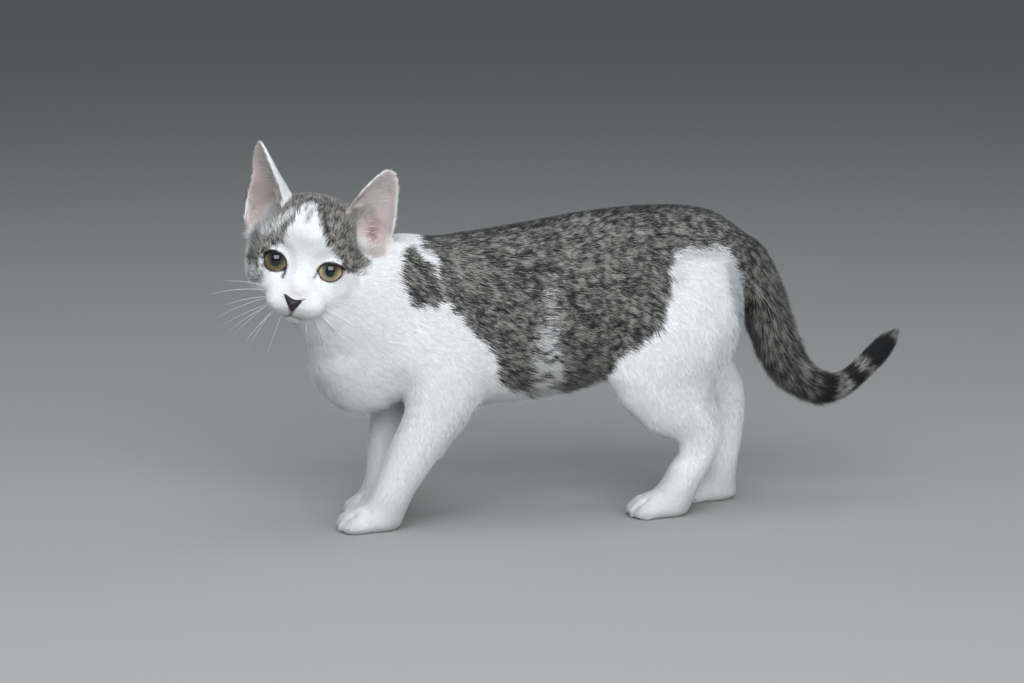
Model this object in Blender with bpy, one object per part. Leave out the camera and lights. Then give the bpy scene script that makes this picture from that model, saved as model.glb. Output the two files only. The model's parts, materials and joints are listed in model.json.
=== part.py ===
"""A young tabby-and-white cat that stands still with its head turned to its left, as a life-size model.

Blender 4.5, metres, +Z up. The cat walks towards -Y and its left side is +X. The origin is on the
ground, at the middle of the model's box. The outline runs out to the tips of the coat.

The body is modelled whole, from lofts along the bones and rounded masses, then parted with thin
cuts into the pieces that a person would name.
"""

import math

import bmesh
import bpy
from mathutils import Matrix, Vector

MM = 0.001  # the tables below are in millimetres

# Driving dimensions
GAP = 0.3 * MM  # clearance of every thin cut
VOXEL = 2.3 * MM  # grid of the surface that joins the masses
SMOOTHING = 9  # passes that blend one mass into the next
FACES_KEPT = 0.1  # share of the joined surface's faces that stay where detail matters
BODY_FACES_KEPT = 0.46  # share of those that the plainer body behind the head keeps
RING_SIDES = 24
STEPS = 4  # rings between two stations of a loft

HEAD_CENTRE = Vector((10.0, -140.0, 174.5))
HEAD_REACH = 56.0  # the head's detail is kept this far from its centre
HEAD_TURN = math.radians(-17.0)  # from +X, where a head turned square to the body would look
HEAD_DROP = math.radians(11.0)  # the face looks this much downwards
HEAD_ROLL = math.radians(12.0)  # the left ear sits lower than the right one

EYE_RADIUS = 9.5
EYE_PLACE = (20.5, 16.4, -6.4)  # forwards, to the side and up, from the head's centre
GAZE = (0.937, 0.072, 0.342)  # the way both eyes look, in the same order
OPENING_REACH = 11.0  # from an eye's centre to the middle of the hollow between its lids
OPENING_SIZES = (8.8, 7.2, 8.2)  # half its width, height and depth
EAR_THICKNESS = 2.6
EAR_TIP = 1.2  # half width of the round tip
EAR_HALF_WIDTH = 16.8
EAR_FULLNESS = 1.7  # a higher one keeps the flap wide further up
EAR_ROUNDNESS = 0.72  # a lower one makes its upper end blunter
EAR_CUP = 15.0  # depth of the cup at the base
EAR_CUP_AT_TIP = 1.0
EAR_ROOT = 0.3  # share of its height that the flap reaches below its base, into the head
EAR_CURL = math.radians(18.0)  # how far the margins wrap past a half round at the ear's base
TAIL_SIDES = 14
TAIL_STEPS = 2

# Stations of a loft: x, y, z of its middle, half its depth across the bend, half its width
TRUNK = (
    (9, -137, 158, 29, 26),
    (7, -123, 146, 38, 29),
    (3, -105, 136, 48, 32),
    (0, -84, 128, 52, 35),
    (0, -60, 125, 52.5, 37),
    (0, -36, 126, 54.5, 38),
    (0, -6, 129, 55.5, 39),
    (0, 20, 133.5, 54.5, 39),
    (0, 46, 139, 53, 37),
    (0, 72, 146, 49, 34),
    (0, 96, 151, 43, 32),
    (0, 116, 154, 35, 27),
    (0, 134, 155, 22, 19),
)
BRISKET = ((3, -109, 110), (27, 35, 40))  # middle and half sizes of the chest's front
THROAT = ((5, -123, 131), (25, 25, 31))
FORELEG_LEFT = (
    (18, -74, 136, 29, 16),
    (23, -64, 110, 28, 17),
    (25, -61, 89, 23, 16),
    (25, -70, 68, 18, 14.5),
    (24, -82, 46, 15, 13),
    (22, -92, 27, 13.5, 12.5),
    (21, -98, 13, 13.5, 13),
)
FORELEG_RIGHT = (
    (-18, -74, 136, 29, 16),
    (-23, -72, 110, 27, 17),
    (-24, -74, 88, 23, 16),
    (-23, -81, 66, 18.5, 14),
    (-21, -87, 44, 15, 12.5),
    (-20, -90, 26, 13, 12),
    (-19, -94, 13, 13, 12.5),
)
THIGH_LEFT = (
    (12, 108, 158, 27, 14),
    (20, 96, 134, 34, 18),
    (25, 83, 110, 34, 18),
    (27, 69, 90, 25, 15),
    (27, 64, 82, 16, 12),
)
KNEE_LEFT = ((26, 62.5, 84), (15, 21.5, 21))
SHANK_LEFT = (
    (27, 66, 84, 22, 15),
    (26, 80, 71, 22, 14),
    (24, 96, 59, 17, 11.5),
    (22.5, 102, 47, 13, 10.5),
    (22, 96, 33, 12, 10.5),
    (21, 89, 20, 12.5, 11.5),
    (21, 84, 11, 12.5, 12.5),
)
THIGH_RIGHT = (
    (-12, 108, 158, 27, 14),
    (-20, 101, 134, 33, 18),
    (-24, 95, 112, 33, 18),
    (-25, 87, 95, 25, 15),
    (-25, 82, 87, 16, 12),
)
KNEE_RIGHT = ((-25, 80, 90), (15, 21, 20))
SHANK_RIGHT = (
    (-25, 84, 91, 22, 15),
    (-24, 106, 87, 24, 14),
    (-22, 121, 80, 18, 12),
    (-20, 130, 66, 13.5, 10.5),
    (-20, 130, 43, 12, 10.5),
    (-19, 127, 24, 12, 11.5),
    (-18, 124, 11, 12.5, 12.5),
)
TAIL = (
    (0, 124, 166, 14, 14),
    (0, 136, 156, 15, 15),
    (0, 144, 141, 15, 15),
    (0, 150, 123, 15, 15),
    (0, 157, 104, 14, 14),
    (0, 167, 86, 12.8, 12.8),
    (0, 182, 74, 12, 12),
    (0, 199, 73, 11.8, 11.8),
    (0, 214, 83, 11.5, 11.5),
    (0, 226, 95, 11, 11),
    (0, 234, 104, 8.5, 8.5),
    (0, 238, 109, 4, 4),
)

# Paws: x, y of the middle on the ground, and the length from heel to toe tips
PAW_HALF_WIDTH = 13.5
PAW_HEIGHT = 19.0
PAW_SINK = 3.0  # the pads press this much of the round form flat
TOE_RADIUS = 6.2
TOE_SPACING = 6.3
TOE_LIFT = 1.0  # the toes' middles lie this much higher than their pads press them
PAWS = {
    "forepaw_left": (20, -106, 42),
    "forepaw_right": (-19, -97, 39),
    "hindpaw_left": (21, 76, 41),
    "hindpaw_right": (-18, 118, 41),
}

# Masses of the head: forwards, to the side, up; then the half sizes in the same order
HEAD_MASSES = (
    (0, 0, 0, 36, 34, 31),
    (15, 0, 3, 20, 23, 19),
    (6, 0, -18, 30, 26, 19),
    (31, 0, -23, 16, 15, 11.5),
    (27, 0, -33, 11, 9, 7.5),
)
HEAD_PAIRED_MASSES = (
    (-8, 26, 2, 15, 13, 12),
    (-10, 21, 15, 11, 11, 12),
    (8, 18, -15, 23, 18.5, 19),
    (13, 17, -5, 14, 14, 13),
    (33, 8, -25, 12, 10.5, 9.5),
)
NOSE_BRIDGE = (
    (16, 0, 2, 13, 13),
    (28, 0, -6, 10.5, 9.5),
    (38, 0, -14, 8, 7.5),
    (44.5, 0, -20, 6, 6.5),
)

# Ears: side, middle of the base, then the tip, as forwards, to the side, up; how far the cup
# turns outwards at the base, and how much more of that it has at the tip
EARS = {
    "ear_left": (1, (-4, 29, 9), (-4, 39, 55), math.radians(20), math.radians(8)),
    "ear_right": (-1, (-4, 27.5, 9), (-4, 42, 55.5), math.radians(36), math.radians(22)),
}

# Cuts: each is one or more planes, a point and the direction that is cut off
CUTTER_SIZE = 1000.0
HEAD_CUT = [((5, -111, 155), (-0.15, 0.75, -0.65))]
NECK_CUT = [((0, -90, 140), (-0.05, 0.8, -0.6))]
CHEST_CUT = [((0, -18, 130), (0, 1, 0))]
RUMP_CUT = [((0, 66, 140), (0, -1, 0))]
MUZZLE_PLANE = ((27, 0, -12), (-0.74, 0, 0.67))  # in the head's own axes
NOSE = ((43, -0.6, -22), (5.5, 7.2, 5.6))
NOSE_POINT = 0.25  # its width at the bottom, as a share of the width across the nostrils
TAIL_CUTS = (
    ((0, 152, 115), (0, -0.35, 0.94)),
    ((0, 176, 79), (0, -0.85, 0.5)),
    ((0, 213, 82), (0, -0.72, -0.7)),
)
LEG_CUTS = {
    "foreleg_left_upper": (
        [
            ((0, 0, 0), (-1, 0, 0)),
            ((6, 0, 66), (-0.76, 0, 0.65)),
            ((0, -34, 70), (0, 0.9, 0.43)),
            ((0, -99, 66), (0, -0.85, 0.53)),
        ],
        ("foreleg_left_lower", (25, -68, 71), (0, 0.45, 0.89)),
        ("forepaw_left", (21, -97, 21), (0, 0.25, 0.97)),
    ),
    "foreleg_right_upper": (
        [
            ((0, 0, 0), (1, 0, 0)),
            ((-6, 0, 66), (0.76, 0, 0.65)),
            ((0, -44, 70), (0, 0.9, 0.43)),
            ((0, -103, 62), (0, -0.85, 0.53)),
        ],
        ("foreleg_right_lower", (-24, -78, 71), (0, 0.15, 0.99)),
        ("forepaw_right", (-19, -92, 21), (0, 0.1, 0.99)),
    ),
    "hindleg_left_thigh": (
        [((0, 0, 0), (-1, 0, 0)), ((6, 0, 78), (-0.95, 0, 0.31)), ((0, 36, 78), (0, -0.87, 0.5))],
        ("hindleg_left_shank", (26, 85, 69), (0, -0.75, 0.66)),
        ("hindpaw_left", (21, 86, 22), (0, -0.25, 0.97)),
    ),
    "hindleg_right_thigh": (
        [((0, 0, 0), (1, 0, 0)), ((-6, 0, 84), (0.95, 0, 0.31)), ((0, 54, 84), (0, -0.87, 0.5))],
        ("hindleg_right_shank", (-24, 108, 83), (0, -0.75, 0.66)),
        ("hindpaw_right", (-18, 124, 21), (0, 0, 1)),
    ),
}

# Finishes: colour, roughness
FINISHES = {
    "coat_tabby": ((0.20, 0.18, 0.15), 0.9),
    "coat_white": ((0.80, 0.79, 0.77), 0.9),
    "ear_skin": ((0.72, 0.52, 0.48), 0.8),
    "nose_leather": ((0.07, 0.04, 0.04), 0.5),
    "eye": ((0.42, 0.37, 0.12), 0.08),
}
SHARP_ANGLE = math.radians(50.0)  # edges sharper than this stay crisp under smooth shading

# Finish of each piece, by how its name begins; the others are white
SLOTS = {
    "ear": "ear_skin",
    "nose": "nose_leather",
    "eye": "eye",
    "tail": "coat_tabby",
    "chest": "coat_tabby",
    "belly": "coat_tabby",
    "rump": "coat_tabby",
}


def clear_scene():
    for obj in list(bpy.data.objects):
        bpy.data.objects.remove(obj, do_unlink=True)


def material(slot):
    made = bpy.data.materials.get(slot)
    if made is None:
        colour, roughness = FINISHES[slot]
        made = bpy.data.materials.new(slot)
        made.use_nodes = True
        shader = made.node_tree.nodes["Principled BSDF"]
        shader.inputs["Base Color"].default_value = (*colour, 1.0)
        shader.inputs["Roughness"].default_value = roughness
        shader.inputs["Metallic"].default_value = 0.0
    return made


def object_from(bm, name):
    """An object in the scene that holds this bmesh."""
    mesh = bpy.data.meshes.new(name)
    bm.to_mesh(mesh)
    bm.free()
    obj = bpy.data.objects.new(name, mesh)
    bpy.context.collection.objects.link(obj)
    return obj


def applied(obj):
    """The object with its modifiers made part of its mesh."""
    bpy.context.view_layer.update()
    graph = bpy.context.evaluated_depsgraph_get()
    mesh = bpy.data.meshes.new_from_object(obj.evaluated_get(graph))
    obj.modifiers.clear()
    obj.data = mesh
    return obj


# Shapes


def between(before, start, end, after, t):
    """A point of the smooth curve through start and end, with its neighbours on either side."""
    return (
        start
        + (end - before) * (0.5 * t)
        + (before - 2.5 * start + 2.0 * end - 0.5 * after) * t**2
        + (1.5 * (start - end) + 0.5 * (after - before)) * t**3
    )


def smoothed(stations, steps):
    """The stations with smooth ones between each two, so that a gap takes this many steps."""
    rows = [Vector(row) for row in stations]
    rows = [2 * rows[0] - rows[1], *rows, 2 * rows[-1] - rows[-2]]
    found = []
    for i in range(1, len(rows) - 2):
        for step in range(steps):
            found.append(between(*rows[i - 1 : i + 3], step / steps))
    found.append(rows[-2])
    return found


def loft(name, stations, sides=RING_SIDES, steps=STEPS, across=Vector((1, 0, 0)), place=Matrix()):
    """A closed tube through the stations, its rings square to its path."""
    rows = smoothed(stations, steps)
    centres = [row[:3] for row in rows]
    bm = bmesh.new()
    last_ring = None
    for i, row in enumerate(rows):
        behind = Vector(centres[max(i - 1, 0)])
        ahead = Vector(centres[min(i + 1, len(rows) - 1)])
        along = (ahead - behind).normalized()
        deep = along.cross(across).normalized()
        wide = deep.cross(along)
        turn = Matrix((wide, deep, along)).transposed().to_4x4()
        sizes = Matrix.Diagonal((row[4], row[3], 1.0, 1.0))
        matrix = Matrix.Translation(row[:3]) @ turn @ sizes
        at_end = i in (0, len(rows) - 1)
        verts = bmesh.ops.create_circle(
            bm, cap_ends=at_end, segments=sides, radius=1.0, matrix=matrix
        )["verts"]
        ring = list({edge for vert in verts for edge in vert.link_edges})
        if last_ring:
            bmesh.ops.bridge_loops(bm, edges=last_ring + ring)
        last_ring = ring
    bmesh.ops.recalc_face_normals(bm, faces=bm.faces)
    bmesh.ops.transform(bm, matrix=Matrix.Scale(MM, 4) @ place, verts=bm.verts)
    return object_from(bm, name)


def ellipsoid(name, centre, radii, place=Matrix(), sides=RING_SIDES):
    bm = bmesh.new()
    matrix = Matrix.Translation(centre) @ Matrix.Diagonal((*radii, 1.0))
    bmesh.ops.create_uvsphere(
        bm, u_segments=sides, v_segments=sides * 2 // 3, radius=1.0, matrix=matrix
    )
    bmesh.ops.transform(bm, matrix=Matrix.Scale(MM, 4) @ place, verts=bm.verts)
    return object_from(bm, name)


def head_place():
    """From the head's own axes, forwards, left and up, to the model's, in millimetres."""
    turn = (
        Matrix.Rotation(HEAD_TURN, 4, "Z")
        @ Matrix.Rotation(HEAD_DROP, 4, "Y")
        @ Matrix.Rotation(HEAD_ROLL, 4, "X").inverted()
    )
    return Matrix.Translation(HEAD_CENTRE) @ turn


def head_shapes():
    place = head_place()
    shapes = []
    for forwards, side, up, *radii in HEAD_MASSES:
        shapes.append(ellipsoid("head_mass", (forwards, side, up), radii, place))
    for forwards, side, up, *radii in HEAD_PAIRED_MASSES:
        for way in (-1, 1):
            shapes.append(ellipsoid("head_mass", (forwards, way * side, up), radii, place))
    bridge_across = Vector((0.0, 1.0, 0.0))
    shapes.append(loft("nose_bridge", NOSE_BRIDGE, across=bridge_across, place=place))
    return shapes


def paw_shapes(x, y, length):
    """A rounded foot whose four toes fan out at its front, towards -Y."""
    middle = PAW_HEIGHT / 2 - PAW_SINK
    radii = (PAW_HALF_WIDTH, length / 2, PAW_HEIGHT / 2)
    shapes = [ellipsoid("paw_mass", (x, y, middle), radii)]
    for toe in (-1.5, -0.5, 0.5, 1.5):
        reach = length / 2 - TOE_RADIUS - 1.8 * abs(toe) ** 1.6
        centre = (x + TOE_SPACING * toe, y - reach, TOE_RADIUS - PAW_SINK + TOE_LIFT)
        shapes.append(ellipsoid("toe", centre, (TOE_RADIUS, TOE_RADIUS + 2, TOE_RADIUS)))
    return shapes


def whole_body():
    """Head, neck, trunk and legs as one smooth closed surface."""
    shapes = [
        loft("trunk", TRUNK),
        ellipsoid("brisket", *BRISKET),
        ellipsoid("throat", *THROAT),
        ellipsoid("knee_left", *KNEE_LEFT),
        ellipsoid("knee_right", *KNEE_RIGHT),
        loft("foreleg_left", FORELEG_LEFT),
        loft("foreleg_right", FORELEG_RIGHT),
        loft("thigh_left", THIGH_LEFT),
        loft("shank_left", SHANK_LEFT),
        loft("thigh_right", THIGH_RIGHT),
        loft("shank_right", SHANK_RIGHT),
        *head_shapes(),
    ]
    for x, y, length in PAWS.values():
        shapes += paw_shapes(x, y, length)
    body = joined("body", shapes)
    remesh = body.modifiers.new("one_surface", "REMESH")
    remesh.mode = "VOXEL"
    remesh.voxel_size = VOXEL
    smooth = body.modifiers.new("blend", "SMOOTH")
    smooth.factor = 0.5
    smooth.iterations = SMOOTHING
    applied(body)
    head = body.vertex_groups.new(name="head")
    centre = HEAD_CENTRE * MM
    near = [v.index for v in body.data.vertices if (v.co - centre).length < HEAD_REACH * MM]
    head.add(near, 1.0, "REPLACE")
    fewer = body.modifiers.new("fewer_faces", "DECIMATE")
    fewer.ratio = FACES_KEPT
    fewer_behind = body.modifiers.new("fewer_faces_behind", "DECIMATE")
    fewer_behind.ratio = BODY_FACES_KEPT
    fewer_behind.vertex_group = "head"
    fewer_behind.invert_vertex_group = True
    fewer_behind.vertex_group_factor = 1.0
    return applied(body)


def joined(name, shapes):
    bm = bmesh.new()
    for shape in shapes:
        bm.from_mesh(shape.data)
        bpy.data.objects.remove(shape, do_unlink=True)
    return object_from(bm, name)


def ear(name):
    """A cupped sheet that narrows to a round tip, its root drawn in where it enters the head."""
    side, base, tip, turn, twist = EARS[name]
    base, tip = (Vector((p[0], side * p[1], p[2])) for p in (base, tip))
    height = (tip - base).length
    up = (tip - base).normalized()
    bm = bmesh.new()
    bmesh.ops.create_grid(bm, x_segments=10, y_segments=8, size=1.0)
    for vert in bm.verts:
        rise = (vert.co.y + 1) / 2 * (1 + EAR_ROOT) - EAR_ROOT
        above = max(rise, 0.0)
        facing = turn + twist * above
        opening = Vector((math.cos(facing), side * math.sin(facing), 0.0))
        opening = (opening - up * opening.dot(up)).normalized()
        sideways = up.cross(opening)
        drawn_in = 1 + min(rise, 0.0)
        narrowing = max(1 - above**EAR_FULLNESS, 0.0) ** EAR_ROUNDNESS * drawn_in
        half_width = EAR_TIP + (EAR_HALF_WIDTH - EAR_TIP) * narrowing
        cup = EAR_CUP * (1 - above) * drawn_in + EAR_CUP_AT_TIP
        angle = vert.co.x * (math.pi / 2 + EAR_CURL * (1 - above) ** 2)
        vert.co = (
            base
            + up * height * rise
            + sideways * half_width * math.sin(angle)
            - opening * cup * math.cos(angle)
        )
    bmesh.ops.recalc_face_normals(bm, faces=bm.faces)
    bmesh.ops.transform(bm, matrix=Matrix.Scale(MM, 4) @ head_place(), verts=bm.verts)
    flap = object_from(bm, name)
    wall = flap.modifiers.new("wall", "SOLIDIFY")
    wall.thickness = EAR_THICKNESS * MM
    wall.offset = 0.0
    return applied(flap)


def eye_place(name):
    """From the eye's own axes to the head's: +Z looks out through the pupil and +X runs to its left."""
    side = 1 if name.endswith("left") else -1
    forwards, sideways, up = EYE_PLACE
    look = Vector(GAZE).normalized()
    left = Vector((0.0, 0.0, 1.0)).cross(look).normalized()
    turn = Matrix((left, look.cross(left), look)).transposed().to_4x4()
    return Matrix.Translation((forwards, side * sideways, up)) @ turn


def eye(name):
    bm = bmesh.new()
    bmesh.ops.create_uvsphere(bm, u_segments=16, v_segments=9, radius=EYE_RADIUS)
    place = Matrix.Scale(MM, 4) @ head_place() @ eye_place(name)
    bmesh.ops.transform(bm, matrix=place, verts=bm.verts)
    return object_from(bm, name)


def nose_pad():
    """The three-sided pad of bare skin, wide across the nostrils and narrow below."""
    centre, radii = NOSE
    bm = bmesh.new()
    bmesh.ops.create_uvsphere(bm, u_segments=15, v_segments=10, radius=1.0)
    for vert in bm.verts:
        height = (vert.co.z + 1) / 2
        vert.co.y *= NOSE_POINT + (1 - NOSE_POINT) * min(1.6 * height, 1.0)
    shape = Matrix.Translation(centre) @ Matrix.Diagonal((*radii, 1.0))
    bmesh.ops.transform(bm, matrix=Matrix.Scale(MM, 4) @ head_place() @ shape, verts=bm.verts)
    return object_from(bm, "nose")


def lid_opening(name):
    """The almond-shaped hollow in front of an eye, between its lids."""
    place = head_place() @ eye_place(name) @ Matrix.Translation((0.0, 0.0, OPENING_REACH))
    return ellipsoid("opening", (0.0, 0.0, 0.0), OPENING_SIZES, place, sides=18)


# Thin cuts


def boolean(obj, cutter, operation):
    cut = obj.modifiers.new(operation.lower(), "BOOLEAN")
    cut.object = cutter
    cut.operation = operation
    cut.solver = "EXACT"
    return applied(obj)


def copied(obj, name):
    copy = bpy.data.objects.new(name, obj.data.copy())
    bpy.context.collection.objects.link(copy)
    return copy


def grown(obj, distance):
    copy = copied(obj, obj.name + "_grown")
    push = copy.modifiers.new("clearance", "DISPLACE")
    push.strength = distance
    push.mid_level = 0.0
    return applied(copy)


def wedge(planes, clearance):
    """A hidden cutter: the space behind every plane, each of which moves outwards by the clearance."""
    bm = bmesh.new()
    bmesh.ops.create_cube(bm, size=CUTTER_SIZE * MM)
    for point, direction in planes:
        outwards = Vector(direction).normalized()
        geometry = bm.verts[:] + bm.edges[:] + bm.faces[:]
        bmesh.ops.bisect_plane(
            bm,
            geom=geometry,
            plane_co=Vector(point) * MM + outwards * clearance,
            plane_no=outwards,
            clear_outer=True,
        )
        rim = [edge for edge in bm.edges if edge.is_boundary]
        bmesh.ops.holes_fill(bm, edges=rim)
    bmesh.ops.recalc_face_normals(bm, faces=bm.faces)
    cutter = object_from(bm, "cutter")
    cutter.hide_render = True
    cutter.display_type = "WIRE"
    return cutter


def parted(body, name, *planes):
    """Cuts out of the body the named piece behind every plane, and leaves GAP between the two."""
    piece = copied(body, name)
    for obj, clearance, operation in ((piece, 0.0, "INTERSECT"), (body, GAP, "DIFFERENCE")):
        cutter = wedge(planes, clearance)
        boolean(obj, cutter, operation)
        bpy.data.objects.remove(cutter, do_unlink=True)
    return piece


def in_head(point, direction):
    """A plane given in the head's own axes, in the model's."""
    place = head_place()
    return place @ Vector(point), place.to_3x3() @ Vector(direction)


def less(piece, others):
    """Takes each other piece out of this one, with GAP to spare."""
    for other in others:
        cutter = grown(other, GAP)
        boolean(piece, cutter, "DIFFERENCE")
        bpy.data.objects.remove(cutter, do_unlink=True)
    return piece


def part_head(body):
    """The head, its muzzle and the neck leave the body."""
    head = parted(body, "head", *HEAD_CUT)
    parted(head, "muzzle", in_head(*MUZZLE_PLANE))
    nose = nose_pad()
    less(nose, [head, bpy.data.objects["muzzle"]])
    parted(body, "neck", *NECK_CUT)


def part_legs(body):
    for name, (root, *joints) in LEG_CUTS.items():
        leg = parted(body, name, *root)
        for piece, point, direction in joints:
            leg = parted(leg, piece, (point, direction))


def part_tail(tail):
    """The tail's lengths, from its root to its tip."""
    for number, (point, direction) in enumerate(TAIL_CUTS, 2):
        tail = parted(tail, f"tail_{number}", (point, direction))


def slot_of(name):
    for start, slot in SLOTS.items():
        if name.startswith(start):
            return slot
    return "coat_white"


def finish():
    """Gives each piece its finish, and moves the origin to the ground under the middle of the box."""
    pieces = list(bpy.context.scene.objects)
    corners = [vert.co for piece in pieces for vert in piece.data.vertices]
    lowest, highest = (Vector(map(pick, zip(*corners))) for pick in (min, max))
    origin = Vector(((lowest.x + highest.x) / 2, (lowest.y + highest.y) / 2, lowest.z))
    for piece in pieces:
        piece.data.transform(Matrix.Translation(-origin))
        piece.data.materials.clear()
        piece.data.materials.append(material(slot_of(piece.name)))
        piece.data.shade_smooth()
        piece.data.set_sharp_from_angle(angle=SHARP_ANGLE)


def main():
    clear_scene()
    body = whole_body()
    boolean(body, wedge([((0, 0, 0), (0, 0, 1))], 0.0), "DIFFERENCE")
    bpy.data.objects.remove(bpy.data.objects["cutter"], do_unlink=True)
    for name in ("eye_left", "eye_right"):
        opening = lid_opening(name)
        boolean(body, opening, "DIFFERENCE")
        bpy.data.objects.remove(opening, do_unlink=True)
    less(body, [eye("eye_left"), eye("eye_right")])
    for name in EARS:
        less(ear(name), [body])
    tail = less(loft("tail_1", TAIL, TAIL_SIDES, TAIL_STEPS), [body])
    part_tail(tail)
    part_head(body)
    part_legs(body)
    parted(body, "chest", *CHEST_CUT)
    parted(body, "rump", *RUMP_CUT)
    body.name = "belly"
    finish()


main()
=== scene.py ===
"""A young tabby-and-white cat that stands with its head turned to its left, as a life-size museum model.

The skin, eyes, nose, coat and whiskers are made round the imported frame, in metres, +Z up. The cat faces
-Y and its left side is +X. Tables and arrays of places are in millimetres where their names or comments
say so.
"""

import itertools
import json
import math

import bmesh
import bpy
import numpy as np
from bpy.props import FloatProperty, FloatVectorProperty, PointerProperty
from mathutils import Matrix, Vector
from mathutils.kdtree import KDTree

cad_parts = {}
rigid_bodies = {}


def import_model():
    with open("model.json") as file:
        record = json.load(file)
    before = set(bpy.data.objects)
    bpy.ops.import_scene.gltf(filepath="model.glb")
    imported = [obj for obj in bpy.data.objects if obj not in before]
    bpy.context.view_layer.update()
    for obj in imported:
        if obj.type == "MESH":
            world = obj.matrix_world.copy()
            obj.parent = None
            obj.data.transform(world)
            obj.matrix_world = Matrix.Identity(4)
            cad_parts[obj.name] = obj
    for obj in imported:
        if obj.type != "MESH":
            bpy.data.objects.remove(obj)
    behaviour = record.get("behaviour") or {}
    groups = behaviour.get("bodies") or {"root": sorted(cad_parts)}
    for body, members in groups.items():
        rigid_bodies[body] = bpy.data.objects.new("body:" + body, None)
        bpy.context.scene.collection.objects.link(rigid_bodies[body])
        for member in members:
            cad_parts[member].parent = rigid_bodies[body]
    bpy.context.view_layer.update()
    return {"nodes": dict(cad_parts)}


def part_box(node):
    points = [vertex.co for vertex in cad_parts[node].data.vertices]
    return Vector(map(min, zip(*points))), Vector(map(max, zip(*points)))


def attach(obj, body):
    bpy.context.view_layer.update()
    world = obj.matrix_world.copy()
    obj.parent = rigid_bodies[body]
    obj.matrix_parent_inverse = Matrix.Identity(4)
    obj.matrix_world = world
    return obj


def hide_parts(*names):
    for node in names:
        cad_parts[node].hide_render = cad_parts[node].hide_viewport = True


bl_info = {
    "name": "Young tabby-and-white cat",
    "version": (1, 0, 0),
    "blender": (4, 5, 0),
    "location": "3D View > Sidebar > Cat",
    "description": "Builds the skin, eyes, coat and whiskers of a standing young cat round its packed frame",
    "category": "Object",
}

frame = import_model()
MM = 0.001
BODY = "root"
FLESH = sorted(name for name in frame["nodes"] if not name.startswith(("eye", "nose")))
SIDES = {"left": 1, "right": -1}

# The head: its axes are forwards, left and up
HEAD_TURN = math.radians(-17.0)  # from +X, where a head turned square to the body would look
HEAD_DROP = math.radians(11.0)
HEAD_ROLL = math.radians(12.0)
EYE_PLACE = (20.5, 16.4, -6.4)  # mm from the head's middle, along its axes
GAZE = Vector((0.937, 0.072, 0.342)).normalized()  # the way both eyes look, along the head's axes
EYE_RADIUS = 9.5
NOSE_TIP = Vector((46.0, -0.4, -24.0))


def head_matrix():
    """From the head's own axes, in millimetres, to the model's, in metres."""
    turn = (
        Matrix.Rotation(HEAD_TURN, 4, "Z")
        @ Matrix.Rotation(HEAD_DROP, 4, "Y")
        @ Matrix.Rotation(HEAD_ROLL, 4, "X").inverted()
    )
    corners = [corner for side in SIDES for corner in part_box(f"eye_{side}")]
    between_eyes = sum(corners, Vector()) / len(corners)
    ahead, _, above = EYE_PLACE
    middle = between_eyes - turn @ (Vector((ahead, 0.0, above)) * MM)
    return Matrix.Translation(middle) @ turn @ Matrix.Scale(MM, 4)


HEAD = head_matrix()

# Hair of each piece of the body: length, width and stand of a tuft in mm, and tufts per square mm
HAIR = {
    "muzzle": (2.6, 0.32, 0.5, 5.0),
    "head": (5.0, 0.38, 0.8, 3.9),
    "ear": (3.0, 0.32, 0.35, 3.6),
    "neck": (6.2, 0.56, 1.4, 2.3),
    "chest": (5.0, 0.58, 1.2, 2.1),
    "belly": (3.5, 0.45, 1.1, 2.9),
    "rump": (3.5, 0.45, 1.1, 2.9),
    "foreleg_upper": (6.0, 0.56, 1.2, 2.2),
    "foreleg_lower": (4.6, 0.46, 0.9, 2.6),
    "forepaw": (3.0, 0.42, 0.6, 3.2),
    "hindleg_thigh": (6.2, 0.58, 1.2, 2.0),
    "hindleg_shank": (4.6, 0.50, 0.9, 2.3),
    "hindpaw": (3.0, 0.42, 0.6, 3.2),
    "tail": (4.8, 0.46, 2.0, 2.7),
}

# The way the hair lies on each piece: left, back and up
LIE = {
    "neck": (0.0, 0.8, -0.6),
    "chest": (0.0, 0.85, -0.5),
    "belly": (0.0, 0.99, -0.12),
    "rump": (0.0, 0.92, -0.38),
    "foreleg_upper": (0.0, 0.4, -0.9),
    "foreleg_lower": (0.0, 0.2, -1.0),
    "forepaw": (0.0, -0.9, -0.4),
    "hindleg_thigh": (0.0, 0.45, -0.9),
    "hindleg_shank": (0.0, 0.2, -1.0),
    "hindpaw": (0.0, -0.9, -0.4),
}

# The ears: base and tip along the head's axes in mm, turn outwards of the opening at the base, and
# how much more of that there is at the tip
EARS = {
    "left": ((-4, 29, 9), (-4, 39, 55), math.radians(20), math.radians(8)),
    "right": ((-4, -27.5, 9), (-4, -42, 55.5), math.radians(36), math.radians(22)),
}
EAR_HALF_WIDTH = 16.8  # mm at the base
EAR_TIP = 1.7  # mm, half the width at the tip
EAR_FULLNESS = 1.7  # the more, the higher up it stays wide
EAR_ROUNDNESS = 0.72  # the less, the rounder its margins
EAR_CUP = 15.0  # mm from its margins back to its middle, at the base
EAR_CUP_AT_TIP = 1.0
EAR_ROOT = 0.3  # share of its height that stands in the head
EAR_CURL = math.radians(18.0)  # how much further its margins curl round at the base
EAR_WALL = 2.4  # mm

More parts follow.
